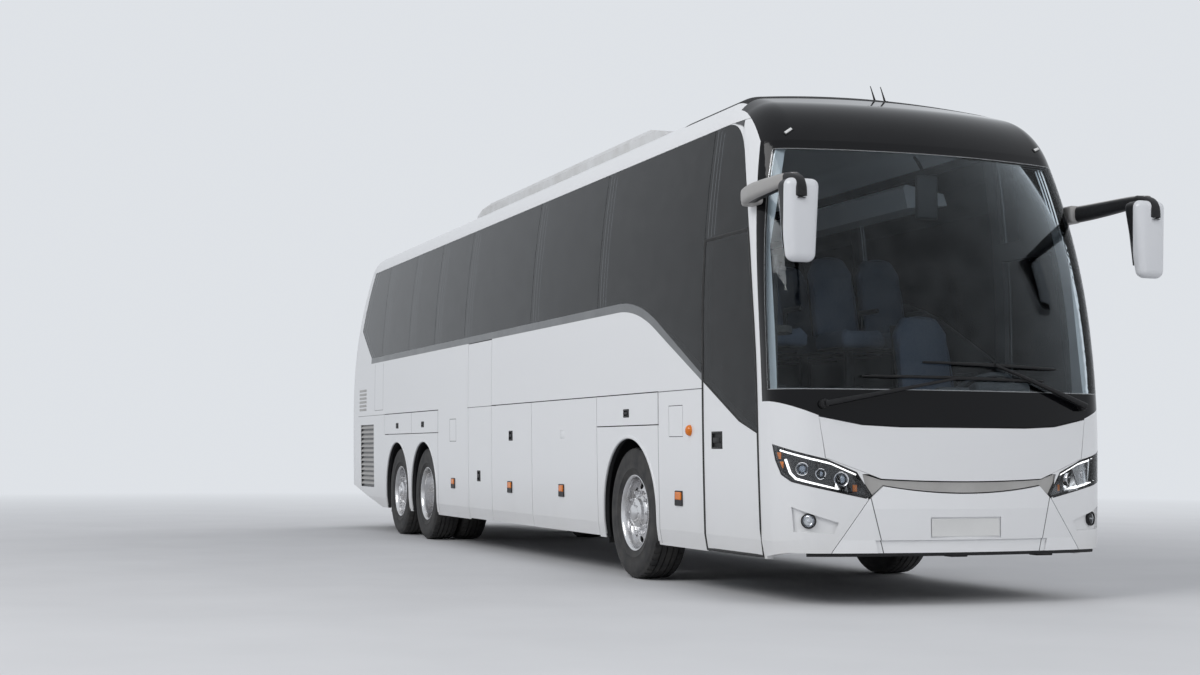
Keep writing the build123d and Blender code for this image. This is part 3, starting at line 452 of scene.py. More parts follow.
def makeSimple(name, base, worn, scale=30.0, rough=0.5, roughSpread=0.15, metallic=0.0, bump=0.1,
               depth=0.0006, **constants):
    # base and worn shades mixed over two sizes of noise, with a grain
    material, shader, place = newMaterial(name, Metallic=metallic, **constants)
    wide = place.noise(scale * 0.12, 4.0).steps(0.35, 0.7)
    grain = place.noise(scale, 5.0)
    feed(shader, Base_Color=(wide * 0.7 + grain * 0.3).clamped().between(base, worn),
         Roughness=(rough - roughSpread / 2) + grain * roughSpread)
    bumped(shader, grain, bump, depth)
    return material


# See-through tint under a skin that mirrors more at its edges; a printed border is plain black
glassSettings = {"skin": (0.95, 0.96, 0.97), "print": (0.004, 0.004, 0.005), "skinIor": 1.3}
screenSettings = {"foot": 1.425, "head": 3.085, "side": 0.085, "softness": 0.004}


def makeGlass(name, tint, ior, border=None):
    s = glassSettings
    material, shader, place = newMaterial(name, IOR=s["skinIor"])
    tree = material.node_tree
    dust = place.noise(6.0, 4.0).steps(0.35, 0.8)
    printed = border(place).clamped() if border else dust * 0.0
    feed(shader, Base_Color=printed.between(s["skin"], s["print"]), Metallic=1 - printed,
         Roughness=0.012 + dust * 0.02 + printed * 0.04)
    clear = place.node("ShaderNodeBsdfTransparent", {}, {"Color": opaque(tint)})
    edge = place.node("ShaderNodeFresnel", {}, {"IOR": ior}) + dust * 0.01
    mix = place.node("ShaderNodeMixShader", {}, {0: (edge + printed).clamped(), 1: clear})
    tree.links.new(shader.outputs[0], mix.socket.node.inputs[2])
    tree.links.new(mix.socket, tree.nodes["Material Output"].inputs["Surface"])
    return material


def screenBorder(place):
    # the printed band along the foot, the head and both sides of the windscreen
    z = place.axis(2)
    soft = screenSettings["softness"]
    sideLine = 6.101 + z * 0.093 - z * z * 0.0523
    beside = 1 - (place.axis(0) - sideLine).past(screenSettings["side"], soft)
    return 1 - z.past(screenSettings["foot"], soft) + z.past(screenSettings["head"], soft) + beside


def makeTailLamp():
    # clear, red, amber and red fields from the foot, with fine ribs
    red, amber, clear = (0.42, 0.012, 0.010), (0.75, 0.20, 0.01), (0.62, 0.62, 0.62)
    material, shader, place = newMaterial("tailLampSegments", IOR=1.45)
    z = place.axis(2)
    tone = opaque(clear)
    for edge, field in ((0.927, red), (1.050, amber), (1.170, red)):
        tone = z.past(edge, 0.002).between(tone, field)
    feed(shader, Base_Color=tone, Roughness=0.10 + place.noise(14.0, 3.0).steps(0.3, 0.8) * 0.08)
    bumped(shader, (z * 520.0).put("SINE"), 0.25, 0.0012)
    return material


unitSettings = {
    "fans": (-1.10, -0.10, 0.90, 1.90, 2.90), "fanRadius": 0.271, "barPitch": 330.0, "top": 3.7365,
    "pale": (0.66, 0.665, 0.67), "dust": (0.52, 0.515, 0.50), "fanBlack": (0.03, 0.03, 0.032),
}


def makeUnitPaint():
    # pale roof unit with round fan grilles on its top
    s = unitSettings
    material, shader, place = newMaterial("roofUnitPaint")
    x, y, z = place.axis(0), place.axis(1), place.axis(2)
    fans = []
    for centre in s["fans"]:
        away = ((x - centre) * (x - centre) + y * y).put("SQRT")
        bars = (away * s["barPitch"]).put("SINE").steps(-0.1, 0.3)
        fans.append((1 - away.past(s["fanRadius"], 0.003)) * (0.35 + bars * 0.65))
    dust = place.noise(4.0, 5.0).steps(0.35, 0.8)
    fan = (sum(fans) * z.past(s["top"], 0.0015)).clamped()
    feed(shader, Base_Color=fan.between(dust.between(s["pale"], s["dust"]), s["fanBlack"]),
         Roughness=0.38 + dust * 0.2)
    bumped(shader, place.noise(60.0, 3.0), 0.04, 0.001)
    return material


creaseSettings = {"z": 0.639, "above": 0.16, "foot": 0.436, "below": 0.20, "side": 0.66, "fold": 0.05,
                  "seam": 0.600, "seamFoot": 0.360, "seamLean": 0.250, "seamHalf": 0.0032}


def makeBumperPaint():
    # the body's paint, with the crease across the bumper, its folds to the corners and its two seams
    s = creaseSettings
    material, shader, place = newMaterial("bumperPaint", Coat_Roughness=paintSettings["coatRough"],
                                          Coat_Weight=paintSettings["coat"])
    y, z = place.axis(1).size(), place.axis(2)
    film = place.noise(2.3, 5.0).steps(0.35, 0.75) * 0.18 * (1 - z.steps(0.35, 0.75))
    tone = film.between(paintSettings["white"], paintSettings["dust"])
    seam = 1 - (y - s["seam"] - (z - s["seamFoot"]) * s["seamLean"]).size().past(s["seamHalf"])
    feed(shader, Base_Color=seam.between(tone, seamSettings["tone"]),
         Roughness=paintSettings["rough"] + film * 0.3)
    above = (z - s["z"]).positive() * s["above"]
    below = (s["foot"] - z).positive() * s["below"]
    side = (y - s["side"]).positive() * s["fold"]
    bumped(shader, below - above - side + place.noise(3.0, 2.0) * 0.0001, 1.0, 1.0)
    return material


paint = makePaint("whiteCoachPaint")
# the side paint carries painted shade on the faces behind the skin, and the seams
sidePaint = makePaint("whiteSidePaint", shadedAndSeamed=True)
roofPaint = makePaint("whiteRoofPaint", blackFront=True)
capBlack = makeSimple("glossBlackRoof", (0.004, 0.004, 0.005), (0.008, 0.008, 0.009), scale=12,
                      rough=0.06, roughSpread=0.04, bump=0.02, IOR=1.32)
trimGrey = makeSimple("satinBeltTrim", (0.16, 0.165, 0.17), (0.22, 0.225, 0.23), rough=0.33, metallic=0.7,
                      bump=0.03)
grilleGrey = makeSimple("grilleGrey", (0.44, 0.43, 0.415), (0.37, 0.36, 0.345), rough=0.42, metallic=0.3,
                        bump=0.05)
blackPlastic = makeSimple("grainedBlackPlastic", (0.008, 0.008, 0.009), (0.018, 0.018, 0.019), scale=420,
                          rough=0.45, bump=0.2, IOR=1.35)
rubberBlack = makeSimple("sealRubber", (0.014, 0.014, 0.014), (0.03, 0.03, 0.03), scale=160, rough=0.75,
                         bump=0.2)
steelBlack = makeSimple("chassisBlack", (0.03, 0.03, 0.032), (0.075, 0.068, 0.06), scale=60, rough=0.6,
                        bump=0.25)
castGrey = makeSimple("castIron", (0.13, 0.13, 0.135), (0.20, 0.19, 0.18), scale=150, rough=0.65,
                      metallic=0.5, bump=0.4)
floorGrey = makeSimple("floorLining", (0.10, 0.10, 0.11), (0.15, 0.15, 0.16), scale=220, rough=0.7, bump=0.2)
dashGrey = makeSimple("dashboardPlastic", (0.045, 0.046, 0.05), (0.07, 0.07, 0.075), scale=500, rough=0.6,
                      bump=0.3)
seatCloth = makeSimple("seatCloth", (0.06, 0.075, 0.11), (0.10, 0.12, 0.16), scale=700, rough=0.9, bump=0.5,
                       depth=0.001)
headRed = makeSimple("tailLampRed", (0.30, 0.01, 0.01), (0.42, 0.015, 0.012), rough=0.12, bump=0.02, scale=90)
lensClear = makeGlass("lampLens", (0.97, 0.98, 0.99), 1.32)
windowDark = makeGlass("darkWindowGlass", (0.42, 0.43, 0.44), 1.26)
windowClear = makeGlass("windscreenGlass", (0.86, 0.90, 0.92), 1.22, border=screenBorder)
print("finishes made")

# Each CAD node gets the finish of its own name, or else that of its slot
nodeFinish = {"tail_lamps": makeTailLamp(), "roof_unit": makeUnitPaint(), "bumper": makeBumperPaint(),
              "roof": roofPaint, "front_door": sidePaint}
# these nodes get the side paint, with its painted shade behind the skin and its dark seams
shadedSeamedNodes = ("side_left", "side_right", "luggage_door", "flap_", "middle_door")
slotFinish = {
    "body_white": paint, "clear_glass": windowClear, "dark_glass": windowDark, "gloss_black": capBlack,
    "belt_grey": trimGrey, "grille_grey": grilleGrey, "lamp_lens": lensClear, "tail_red": headRed,
    "mirror_shell": paint, "black_trim": blackPlastic, "frame_steel": steelBlack,
    "engine_iron": castGrey, "floor_lining": floorGrey, "dash_plastic": dashGrey,
    "seat_fabric": seatCloth, "tyre_rubber": rubberBlack, "rim_alloy": trimGrey,
    "flap_rubber": rubberBlack, "louvre_grey": grilleGrey,
}
for row in frame["record"]["subparts"]:
    name = row["node"]
    own = sidePaint if name.startswith(shadedSeamedNodes) else slotFinish[row["material_slot"]]
    nodes[name].data.materials.clear()
    nodes[name].data.materials.append(nodeFinish.get(name, own))

# Camera, floor, light
cameraSettings = {"place": (16.680, -6.307, 0.998), "yaw": 159.82, "pitch": 3.79, "roll": 0.28, "lens": 52.27}
yaw, pitch, roll = (math.radians(cameraSettings[key]) for key in ("yaw", "pitch", "roll"))
ahead = Vector((math.cos(yaw) * math.cos(pitch), math.sin(yaw) * math.cos(pitch), math.sin(pitch)))
level = Vector((math.sin(yaw), -math.cos(yaw), 0))
right = level * math.cos(roll) + level.cross(ahead) * math.sin(roll)
upward = right.cross(ahead)
bpy.ops.object.camera_add()
camera = bpy.context.object
camera.data.lens = cameraSettings["lens"]
camera.data.sensor_width = 36.0
camera.data.clip_end = 300
camera.matrix_world = Matrix([(right[row], upward[row], -ahead[row], cameraSettings["place"][row])
                              for row in range(3)] + [(0, 0, 0, 1)])
bpy.context.scene.camera = camera

studioSettings = {"far": (0.80, 0.83, 0.87), "sky": (0.74, 0.77, 0.82), "skyLight": 0.62, "farLight": 0.92,
                  "fadeFrom": 6.0, "fadeTo": 26.0}
clearSelection()
bpy.ops.mesh.primitive_plane_add(size=160, location=(0, 0, 0))
floor = bpy.context.object
floor.name = "paleFloor"
floorFinish, floorShader, floorPlace = newMaterial("paleFloorFinish", Roughness=0.9)
floorTree = floorFinish.node_tree
feed(floorShader, Base_Color=floorPlace.noise(0.8, 3.0).steps(0.3, 0.7).between((0.60, 0.60, 0.61),
                                                                              (0.64, 0.64, 0.65)))


def rayKind(tree, *kinds):
    # 1 for the named kinds of rays
    path = tree.nodes.new("ShaderNodeLightPath")
    return sum(Wire(tree, path.outputs[f"Is {kind} Ray"]) for kind in kinds).clamped()


# Seen and mirrored, the floor fades into the tone of the far wall
reach = floorPlace.node("ShaderNodeVectorMath", {"operation": "LENGTH"}, {0: floorPlace}, output=1)
fade = reach.steps(studioSettings["fadeFrom"], studioSettings["fadeTo"])
fade = rayKind(floorTree, "Camera", "Glossy") * fade
paleFar = floorPlace.node("ShaderNodeEmission", {}, {"Color": opaque(studioSettings["far"]),
                                                     "Strength": studioSettings["farLight"]})
floorMix = floorPlace.node("ShaderNodeMixShader", {}, {0: fade, 2: paleFar})
floorTree.links.new(floorShader.outputs[0], floorMix.socket.node.inputs[1])
floorTree.links.new(floorMix.socket, floorTree.nodes["Material Output"].inputs["Surface"])
floor.data.materials.append(floorFinish)

world = bpy.data.worlds.new("studio")
bpy.context.scene.world = world
world.use_nodes = True
worldTree = world.node_tree
backLight = worldTree.nodes["Background"]
shown = rayKind(worldTree, "Camera", "Glossy", "Transmission")
skyTone = shown.between(studioSettings["sky"], studioSettings["far"])
skyStrength = studioSettings["skyLight"] + shown * 0.30
worldTree.links.new(skyTone.socket, backLight.inputs["Color"])
worldTree.links.new(skyStrength.socket, backLight.inputs["Strength"])

lampRows = [("keyLamp", (10, -18, 15), (0, 0, 1.2), (14, 10), 2300, True),
            ("frontLamp", (20, 7, 10), (6, 0, 1.5), (10, 8), 700, False),
            ("backLamp", (-16, 12, 12), (-4, 0, 1.5), (12, 8), 1000, False)]
for name, place, target, size, power, mirroring in lampRows:
    bpy.ops.object.light_add(type="AREA", location=place)
    lamp = bpy.context.object
    lamp.name = name
    lamp.data.shape = "RECTANGLE"
    lamp.data.size, lamp.data.size_y = size
    lamp.data.energy = power
    lamp.rotation_euler = (Vector(target) - Vector(place)).to_track_quat("-Z", "Y").to_euler()
    lamp.visible_glossy = mirroring
bpy.context.scene.view_settings.view_transform = "Standard"
print("camera and light set")

# Tyres: outline of one side wall as (radius, place across), and the tread's grooves
tyreSettings = {
    "radius": 0.5225, "segments": 96, "grooves": (-0.072, -0.026, 0.026, 0.072), "grooveHalf": 0.005,
    "grooveDepth": 0.014, "notch": (0.0015, -0.005), "notchBand": 0.078, "crownHalf": 0.117,
    "crownDrop": 0.0045,
    "wall": [(0.287, -0.110), (0.296, -0.121), (0.300, -0.1225), (0.304, -0.1225), (0.312, -0.128),
             (0.350, -0.1385), (0.353, -0.1415), (0.358, -0.1415), (0.361, -0.1400), (0.400, -0.1450),
             (0.436, -0.1452), (0.462, -0.1430), (0.486, -0.1385), (0.489, -0.1355), (0.500, -0.1335),
             (0.511, -0.1275)],
}

# Rims: the bolting face lies at disc, outward from the wheel's middle plane; the drive axle's is deep
rimSettings = {
    "segments": 80, "holes": 10, "holeCircle": 0.212, "holeSize": (0.027, 0.034), "studs": 10,
    "studCircle": 0.1675, "nut": 0.0175, "nutLift": 0.012, "hubBolts": 8, "hubBolt": 0.0075,
    "lip": [(0.2855, 0.104), (0.292, 0.112), (0.3005, 0.1175), (0.3035, 0.1225), (0.3025, 0.1275),
            (0.2975, 0.1290), (0.2905, 0.1265), (0.2835, 0.1180), (0.2775, 0.1000), (0.2735, 0.0780)],
    "inner": [(0.270, -0.100), (0.285, -0.1200), (0.296, -0.1260), (0.3035, -0.1225), (0.292, -0.112),
              (0.2855, -0.104), (0.2855, 0.104)],
    "steer": {
        "disc": 0.070, "stud": 0.040, "boltFace": 0.124, "boltCircle": 0.075,
        "face": [(0.270, 0.060), (0.266, 0.036), (0.252, 0.048), (0.232, 0.060), (0.200, 0.066),
                 (0.190, 0.070), (0.140, 0.070), (0.139, 0.050)],
        "back": [(0.136, 0.046), (0.190, 0.046), (0.205, 0.042), (0.236, 0.030), (0.262, 0.010)],
        "hub": [(0, 0.148), (0.050, 0.147), (0.062, 0.142), (0.066, 0.130), (0.084, 0.125), (0.100, 0.120),
                (0.112, 0.114), (0.116, 0.090), (0.130, 0.082), (0.139, 0.074), (0.139, 0.040), (0, 0.040)],
    },
    "drive": {
        "disc": -0.100, "stud": 0.044, "boltFace": -0.022, "boltCircle": 0.092,
        "face": [(0.2700, -0.050), (0.262, -0.072), (0.240, -0.092), (0.205, -0.104), (0.185, -0.100),
                 (0.140, -0.100), (0.139, -0.120)],
        "back": [(0.136, -0.124), (0.190, -0.124), (0.205, -0.128), (0.236, -0.112), (0.262, -0.090)],
        "hub": [(0, -0.002), (0.058, -0.003), (0.066, -0.008), (0.068, -0.020), (0.108, -0.024),
                (0.118, -0.030), (0.120, -0.050), (0.128, -0.060), (0.132, -0.092), (0.139, -0.096),
                (0.139, -0.130), (0, -0.130)],
    },
}


def makeTyre(name):
    s = tyreSettings
    wall = s["wall"] + [(s["radius"] - s["crownDrop"], -s["crownHalf"])]
    tread = []
    for groove in s["grooves"]:
        half = s["grooveHalf"]
        top = s["radius"] - s["crownDrop"] * (groove / s["crownHalf"]) ** 2
        floorLine = top - s["grooveDepth"]
        tread += [(top, groove - half), (floorLine, groove - half / 2), (floorLine, groove + half / 2),
                  (top, groove + half)]
    other = [(radius, -place) for radius, place in reversed(wall)]
    tyre = turned(name, wall + tread + other + [wall[0]], s["segments"])
    step = 2 * math.pi / s["segments"]

    def shoulderBlock(centre, normal):
        turn = int((math.atan2(centre.z, centre.x) + math.pi) / step)
        reach = math.hypot(centre.x, centre.z)
        return turn % 2 == 0 and reach > s["radius"] - 0.010 and abs(centre.y) > s["notchBand"]

    insetFaces(tyre, shoulderBlock, s["notch"])
    return tyre


def nutRing(name, place, count, circle, size, reach):
    # hexagonal nuts with their studs, on a circle round the wheel's axis
    clearSelection()
    rows = ((6, size, 0.026, 0, 0.002), (16, size * 0.62, reach, 0.008, 0.003))
    parts = []
    for vertices, radius, depth, lift, bevel in rows:
        bpy.ops.mesh.primitive_cylinder_add(vertices=vertices, radius=radius, depth=depth,
                                            location=(circle, 0, lift))
        parts.append(settle(bpy.context.object))
        applyModifier(parts[-1], "BEVEL", width=bevel, segments=2, limit_method="ANGLE")
    first = joined(parts, name)
    ring = [first]
    for index in range(1, count):
        ring.append(moved(copyOf(first, f"{name}{index}"), turn=(0, 0, 2 * math.pi * index / count)))
    return moved(joined(ring, name), offset=(0, place, 0), turn=(-math.pi / 2, 0, 0))


def makeRim(name, shape):
    s = rimSettings
    rim = turned(name, s["lip"] + shape["face"] + shape["back"] + s["inner"], s["segments"])
    clearSelection()
    cutters = []
    for index in range(s["holes"]):
        bpy.ops.mesh.primitive_cylinder_add(vertices=24, radius=1.0, depth=0.12)
        cutter = bpy.context.object
        moved(cutter, scale=(*s["holeSize"], 1))
        moved(cutter, offset=(s["holeCircle"], 0, 0))
        cutters.append(moved(cutter, turn=(0, 0, 2 * math.pi * (index + 0.5) / s["holes"])))
    cutter = joined(cutters, "holeCutter")
    moved(cutter, offset=(0, shape["disc"] - 0.01, 0), turn=(-math.pi / 2, 0, 0))
    applyModifier(rim, "BOOLEAN", object=cutter, operation="DIFFERENCE", solver="EXACT")
    bpy.data.objects.remove(cutter)
    applyModifier(rim, "BEVEL", width=0.003, segments=2, limit_method="ANGLE", angle_limit=math.radians(50))
    nuts = nutRing(name + "Nuts", shape["disc"] + s["nutLift"], s["studs"], s["studCircle"], s["nut"],
                   shape["stud"])
    return joined([rim, nuts], name)


def makeHub(name, shape):
    s = rimSettings
    hub = turned(name, shape["hub"], 64)
    bolts = nutRing(name + "Bolts", shape["boltFace"], s["hubBolts"], shape["boltCircle"], s["hubBolt"],
                    0.012)
    return joined([hub, bolts], name)


def makeAlloy():
    material, shader, place = newMaterial("polishedAlloy", Metallic=1.0)
    streaks = place.noise(90.0, 4.0)
    stains = place.noise(7.0, 4.0).steps(0.45, 0.85)
    feed(shader, Base_Color=stains.between((0.70, 0.70, 0.71), (0.50, 0.48, 0.46)),
         Roughness=0.16 + streaks * 0.10 + stains * 0.12)
    bumped(shader, streaks, 0.05, 0.0003)
    return material


def makeRubber():
    material, shader, place = newMaterial("tyreRubber")
    dust = place.noise(9.0, 5.0).steps(0.35, 0.8)
    grain = place.noise(260.0, 4.0)
    feed(shader, Base_Color=dust.between((0.016, 0.016, 0.017), (0.055, 0.052, 0.048)),
         Roughness=0.62 + grain * 0.2)
    bumped(shader, grain, 0.3, 0.0006)
    return material


alloy = makeAlloy()
rubber = makeRubber()
tyreModel = makeTyre("tyreModel")
print("tyre modelled")
steerRim, steerHub = makeRim("steerRim", rimSettings["steer"]), makeHub("steerHub", rimSettings["steer"])
driveRim, driveHub = makeRim("driveRim", rimSettings["drive"]), makeHub("driveHub", rimSettings["drive"])
print("rims modelled")

# Wheels: planes are the places of the tyres inward from the outer wheel; the drive axle has twins
wheelRows = [("front", steerRim, steerHub, (0.0,)), ("drive", driveRim, driveHub, (0.0, -0.330)),
             ("tag", steerRim, steerHub, (0.0,))]
for name, rimModel, hubModel, planes in wheelRows:
    for side, hand in hands:
        body = f"{name}_wheel_{hand.lower()}"
        tyres, rims = [], []
        for index, plane in enumerate(planes):
            place = (axles[name], side * (wheelPlane + plane), axleHeight)
            tyre, rim = copyOf(tyreModel, f"{name}Tyre{index}"), copyOf(rimModel, f"{name}Rim{index}")
            tyres.append(moved(tyre, offset=place, turn=(0, 0.37 + index, 0)))
            rims.append(moved(rim, offset=place, scale=(1, -side if index else side, 1)))
        tyre = joined(tyres, f"{name}Tyre{hand}")
        rim = joined(rims, f"{name}Rim{hand}")
        hub = moved(copyOf(hubModel, f"{name}Hub{hand}"), offset=(axles[name], side * wheelPlane, axleHeight),
                    scale=(1, side, 1))
        finish(tyre, rubber, body, "tyre_rubber")
        finish(rim, alloy, body, "rim_alloy")
        finish(hub, alloy, body, "rim_alloy")
        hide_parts(f"tyre_{body}")
        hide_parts(f"rim_{body}")
for model in (tyreModel, steerRim, steerHub, driveRim, driveHub):
    bpy.data.objects.remove(model)
print("wheels placed")

# Places on the CAD skin
noseNodes = ("windscreen", "hood", "grille", "bumper", "front_mask", "roof_cap", "headlamps")
rearNodes = ("engine_lid", "rear_panel", "rear_window", "tail_lamps")
skinTrees = {}


def struck(names, start, direction):
    # where a line first meets one of these CAD nodes, and how that face looks
    hits = []
    for name in names:
        if name not in skinTrees:
            mesh = nodes[name].data
            skinTrees[name] = BVHTree.FromPolygons([point.co.copy() for point in mesh.vertices],
                                                   [tuple(face.vertices) for face in mesh.polygons])
        place, normal, index, reach = skinTrees[name].ray_cast(Vector(start), Vector(direction))
        if place:
            hits.append((reach, place, normal))
    return min(hits, key=lambda hit: hit[0])[1:]


def onNose(y, z, lift=0.0, names=noseNodes):
    place, normal = struck(names, (9, y, z), (-1, 0, 0))
    return place + normal * lift


def onTail(y, z, lift=0.0, half=0.009):
    # a place behind the rear face, for a piece that reaches half its depth further back
    place, normal = struck(rearNodes, (-9, y, z), (1, 0, 0))
    return Vector((max(place.x - lift, cadBox[0][0] + half), place.y, place.z))


def sideFace(z):
    # half the width of the body at a height
    s = bodySettings
    if z <= s["footTop"]:
        return s["sillHalf"] + (z - s["sill"]) / (s["footTop"] - s["sill"]) * s["footLean"]
    radius = s["highRadius"] if z > s["widest"] else s["lowRadius"]
    return s["half"] - radius + math.sqrt(radius ** 2 - (z - s["widest"]) ** 2)


def onSide(side, x, z, lift=0.0):
    return Vector((x, side * (sideFace(z) + lift), z))


def between(first, second, count):
    return [tuple(a + (b - a) * step / count for a, b in zip(first, second)) for step in range(count + 1)]


def stretched(corners, longest, closed=False):
    # a line through the corners with points no further apart than longest
    points = []
    for first, second in zip(corners, corners[1:] + corners[:1] if closed else corners[1:]):
        count = max(1, round(math.dist(first, second) / longest))
        points += between(first, second, count)[:-1]
    return points if closed else points + [tuple(corners[-1])]


def shrunk(outline, inset):
    # every corner moved inwards, for an outline that runs clockwise
    result = []
    for index, here in enumerate(outline):
        before = Vector(here) - Vector(outline[index - 1])
        after = Vector(outline[(index + 1) % len(outline)]) - Vector(here)
        first = Vector((before.y, -before.x)).normalized()
        second = Vector((after.y, -after.x)).normalized()
        middle = (first + second).normalized()
        result.append(tuple(Vector(here) + middle * (inset / max(0.35, middle.dot(first)))))
    return result


# Headlamps: outline as (along the lamp, Z), right-hand lamp, seen 45 degrees out from the nose
lampSettings = {
    "centre": 3.897, "plane": 6.300, "frame": 0.011, "frameSize": 0.020, "frameDepth": 0.013, "deck": 0.036,
    "tub": 0.046, "wall": 0.003, "ledDepth": 0.012, "ledSize": (0.017, 0.014), "lensDepth": 0.016,
    "lensAim": (0.86, -0.50, 0), "bowlDepth": 0.019, "turnDepth": 0.028, "turnSize": (0.030, 0.010, 0.045),
    "turnAim": (0.80, -0.60, 0),
    "outline": [(-0.365, 1.063), (0, 0.966), (0.169, 0.882), (0.253, 0.726), (0.219, 0.707), (0.039, 0.752),
                (-0.220, 0.815), (-0.292, 0.860), (-0.340, 0.958)],
    "upperLed": [(-0.300, 1.022), (0.020, 0.937), (0.160, 0.866)],
    "lowerLed": [(-0.262, 0.962), (-0.228, 0.872), (-0.190, 0.836), (0.055, 0.768)],
    "lenses": [(-0.150, 0.900, 0.043), (-0.040, 0.868, 0.036), (0.076, 0.833, 0.050)],
    "turns": [(-0.318, 0.985), (-0.300, 0.925), (0.150, 0.775)],
}
diagonal = math.sqrt(0.5)
lampOut = Vector((diagonal, -diagonal, 0))
lampAlong = Vector((diagonal, diagonal, 0))


def lampPlace(along, z, depth, names=("headlamps",)):
    start = lampAlong * (lampSettings["centre"] + along) + lampOut * lampSettings["plane"] + Vector((0, 0, z))
    place, normal = struck(names, start, -lampOut)
    return place - lampOut * depth


def deleteFaces(piece, test):
    pickFaces(piece, test)
    bpy.ops.mesh.delete(type="FACE")
    leaveEdit()


def makeLens(name, size):
    # bezel ring with a bowl behind it, then the dome in front
    ring = turned(name, [(size, -0.020), (size, 0.004), (size - 0.003, 0.007), (size - 0.007, 0.005),
                         (size * 0.72, -0.004), (size * 0.66, -0.010), (size * 0.60, -0.018),
                         (size, -0.020)], 40)
    dome = turned(name + "Dome", [(0, 0.006), (size * 0.22, 0.005), (size * 0.42, 0.000),
                                  (size * 0.56, -0.007), (size * 0.62, -0.014), (size * 0.62, -0.020),
                                  (0, -0.020)], 32)
    return ring, dome


def makeLight(name, tone, strength):
    material, shader, place = newMaterial(name, Emission_Strength=strength, Roughness=0.3)
    glow = place.noise(60.0, 2.0).steps(0.2, 0.9)
    feed(shader, Emission_Color=glow.between(tone, [value * 0.93 for value in tone]),
         Base_Color=glow.between((0.8, 0.8, 0.8), (0.7, 0.7, 0.7)))
    return material


chrome = makeSimple("lampChrome", (0.80, 0.80, 0.82), (0.62, 0.62, 0.64), scale=60, rough=0.10,
                    roughSpread=0.06, metallic=1.0, bump=0.02)
lampBlack = makeSimple("lampHousing", (0.010, 0.010, 0.011), (0.022, 0.021, 0.021), scale=90, rough=0.28,
                       bump=0.05)
lampAmber = makeSimple("amberLens", (0.85, 0.24, 0.01), (0.62, 0.14, 0.005), scale=120, rough=0.14, bump=0.10)
domeGlass = makeGlass("projectorDome", (0.62, 0.66, 0.70), 1.5)
ledWhite = makeLight("ledStrip", (1.0, 1.0, 1.0), 1.5)

# The cover, the deck behind it and the tub's wall are made from the outer face of the CAD lamp
lampSkin = copyOf(nodes["headlamps"], "lampSkin")
fixNormals(lampSkin)
deleteFaces(lampSkin, lambda centre, normal: centre.y > 0 or normal.dot(lampOut) < 0.2)
cover = copyOf(lampSkin, "lampCover")
applyModifier(cover, "SOLIDIFY", thickness=lampSettings["wall"], offset=-1)
deck = moved(copyOf(lampSkin, "lampDeck"), offset=-lampOut * lampSettings["deck"])
applyModifier(deck, "SOLIDIFY", thickness=lampSettings["wall"], offset=-1)
tub = copyOf(lampSkin, "lampTub")
editMesh(tub, kind="EDGE")
bpy.ops.mesh.select_non_manifold()
bpy.ops.mesh.extrude_edges_move(TRANSFORM_OT_translate={"value": -lampOut * lampSettings["tub"]})
leaveEdit()
deleteFaces(tub, lambda centre, normal: abs(normal.dot(lampOut)) > 0.1)
applyModifier(tub, "SOLIDIFY", thickness=lampSettings["wall"], offset=0)
bezelLine = stretched(shrunk(lampSettings["outline"], lampSettings["frame"]), 0.05, closed=True)
bezel = swept("lampBezel", [lampPlace(along, z, lampSettings["frameDepth"]) for along, z in bezelLine],
              lampSettings["frameSize"], lampSettings["frameSize"], closed=True, curved=False)
lampPieces = [(cover, lensClear), (deck, lampBlack), (tub, lampBlack), (bezel, lampBlack)]
for name in ("upperLed", "lowerLed"):
    line = [lampPlace(along, z, lampSettings["ledDepth"]) for along, z in stretched(lampSettings[name], 0.05)]
    lampPieces.append((swept(name, line, *lampSettings["ledSize"], curved=False), ledWhite))
for index, (along, z, size) in enumerate(lampSettings["lenses"]):
    ring, dome = makeLens(f"lampLens{index}", size)
    place = lampPlace(along, z, lampSettings["lensDepth"])
    aim = lampSettings["lensAim"]
    reflector = rod(f"lampBowl{index}", (0, 0, 0), size * 0.60, 0.004, "Y", 28, 0.001)
    lampPieces += [(aimed(ring, place, aim), chrome), (aimed(dome, place, aim), domeGlass),
                   (aimed(reflector, place - lampOut * lampSettings["bowlDepth"], aim), chrome)]
for index, (along, z) in enumerate(lampSettings["turns"]):
    turnLight = block(f"lampTurn{index}", (0, 0, 0), lampSettings["turnSize"], 0.003)
    place = lampPlace(along, z, lampSettings["turnDepth"])
    lampPieces.append((aimed(turnLight, place, lampSettings["turnAim"]), lampAmber))
bothSides(lampPieces, "lamp_lens", "headlamps")
bpy.data.objects.remove(lampSkin)
print("headlamps modelled")

# Fog lamps in the pockets of the bumper corners
fogSettings = {
    "along": -0.112, "z": 0.561, "lift": 0.004, "aim": (0.85, -0.53, 0),
    "ring": [(0.050, -0.012), (0.050, 0.010), (0.047, 0.016), (0.043, 0.016), (0.040, 0.008), (0.038, -0.006),
             (0.044, -0.012), (0.050, -0.012)],
    "bowl": [(0.040, 0.008), (0.032, -0.002), (0.018, -0.009), (0, -0.011), (0, -0.013), (0.040, -0.012),
             (0.040, 0.008)],
    "glass": [(0, 0.018), (0.020, 0.016), (0.034, 0.012), (0.041, 0.008), (0.041, 0.005), (0, 0.013),
              (0, 0.018)],
}
fogPlace = lampPlace(fogSettings["along"], fogSettings["z"], -fogSettings["lift"], ("bumper", "front_mask"))
fogPieces = [(turned("fogRing", fogSettings["ring"], 48), blackPlastic),
             (turned("fogBowl", fogSettings["bowl"], 40), chrome),
             (rod("fogBulb", (0, -0.002, 0), 0.010, 0.014, "Y", 20, 0.003), chrome),
             (turned("fogGlass", fogSettings["glass"], 40), lensClear)]
bothSides([(aimed(piece, fogPlace, fogSettings["aim"]), material) for piece, material in fogPieces])

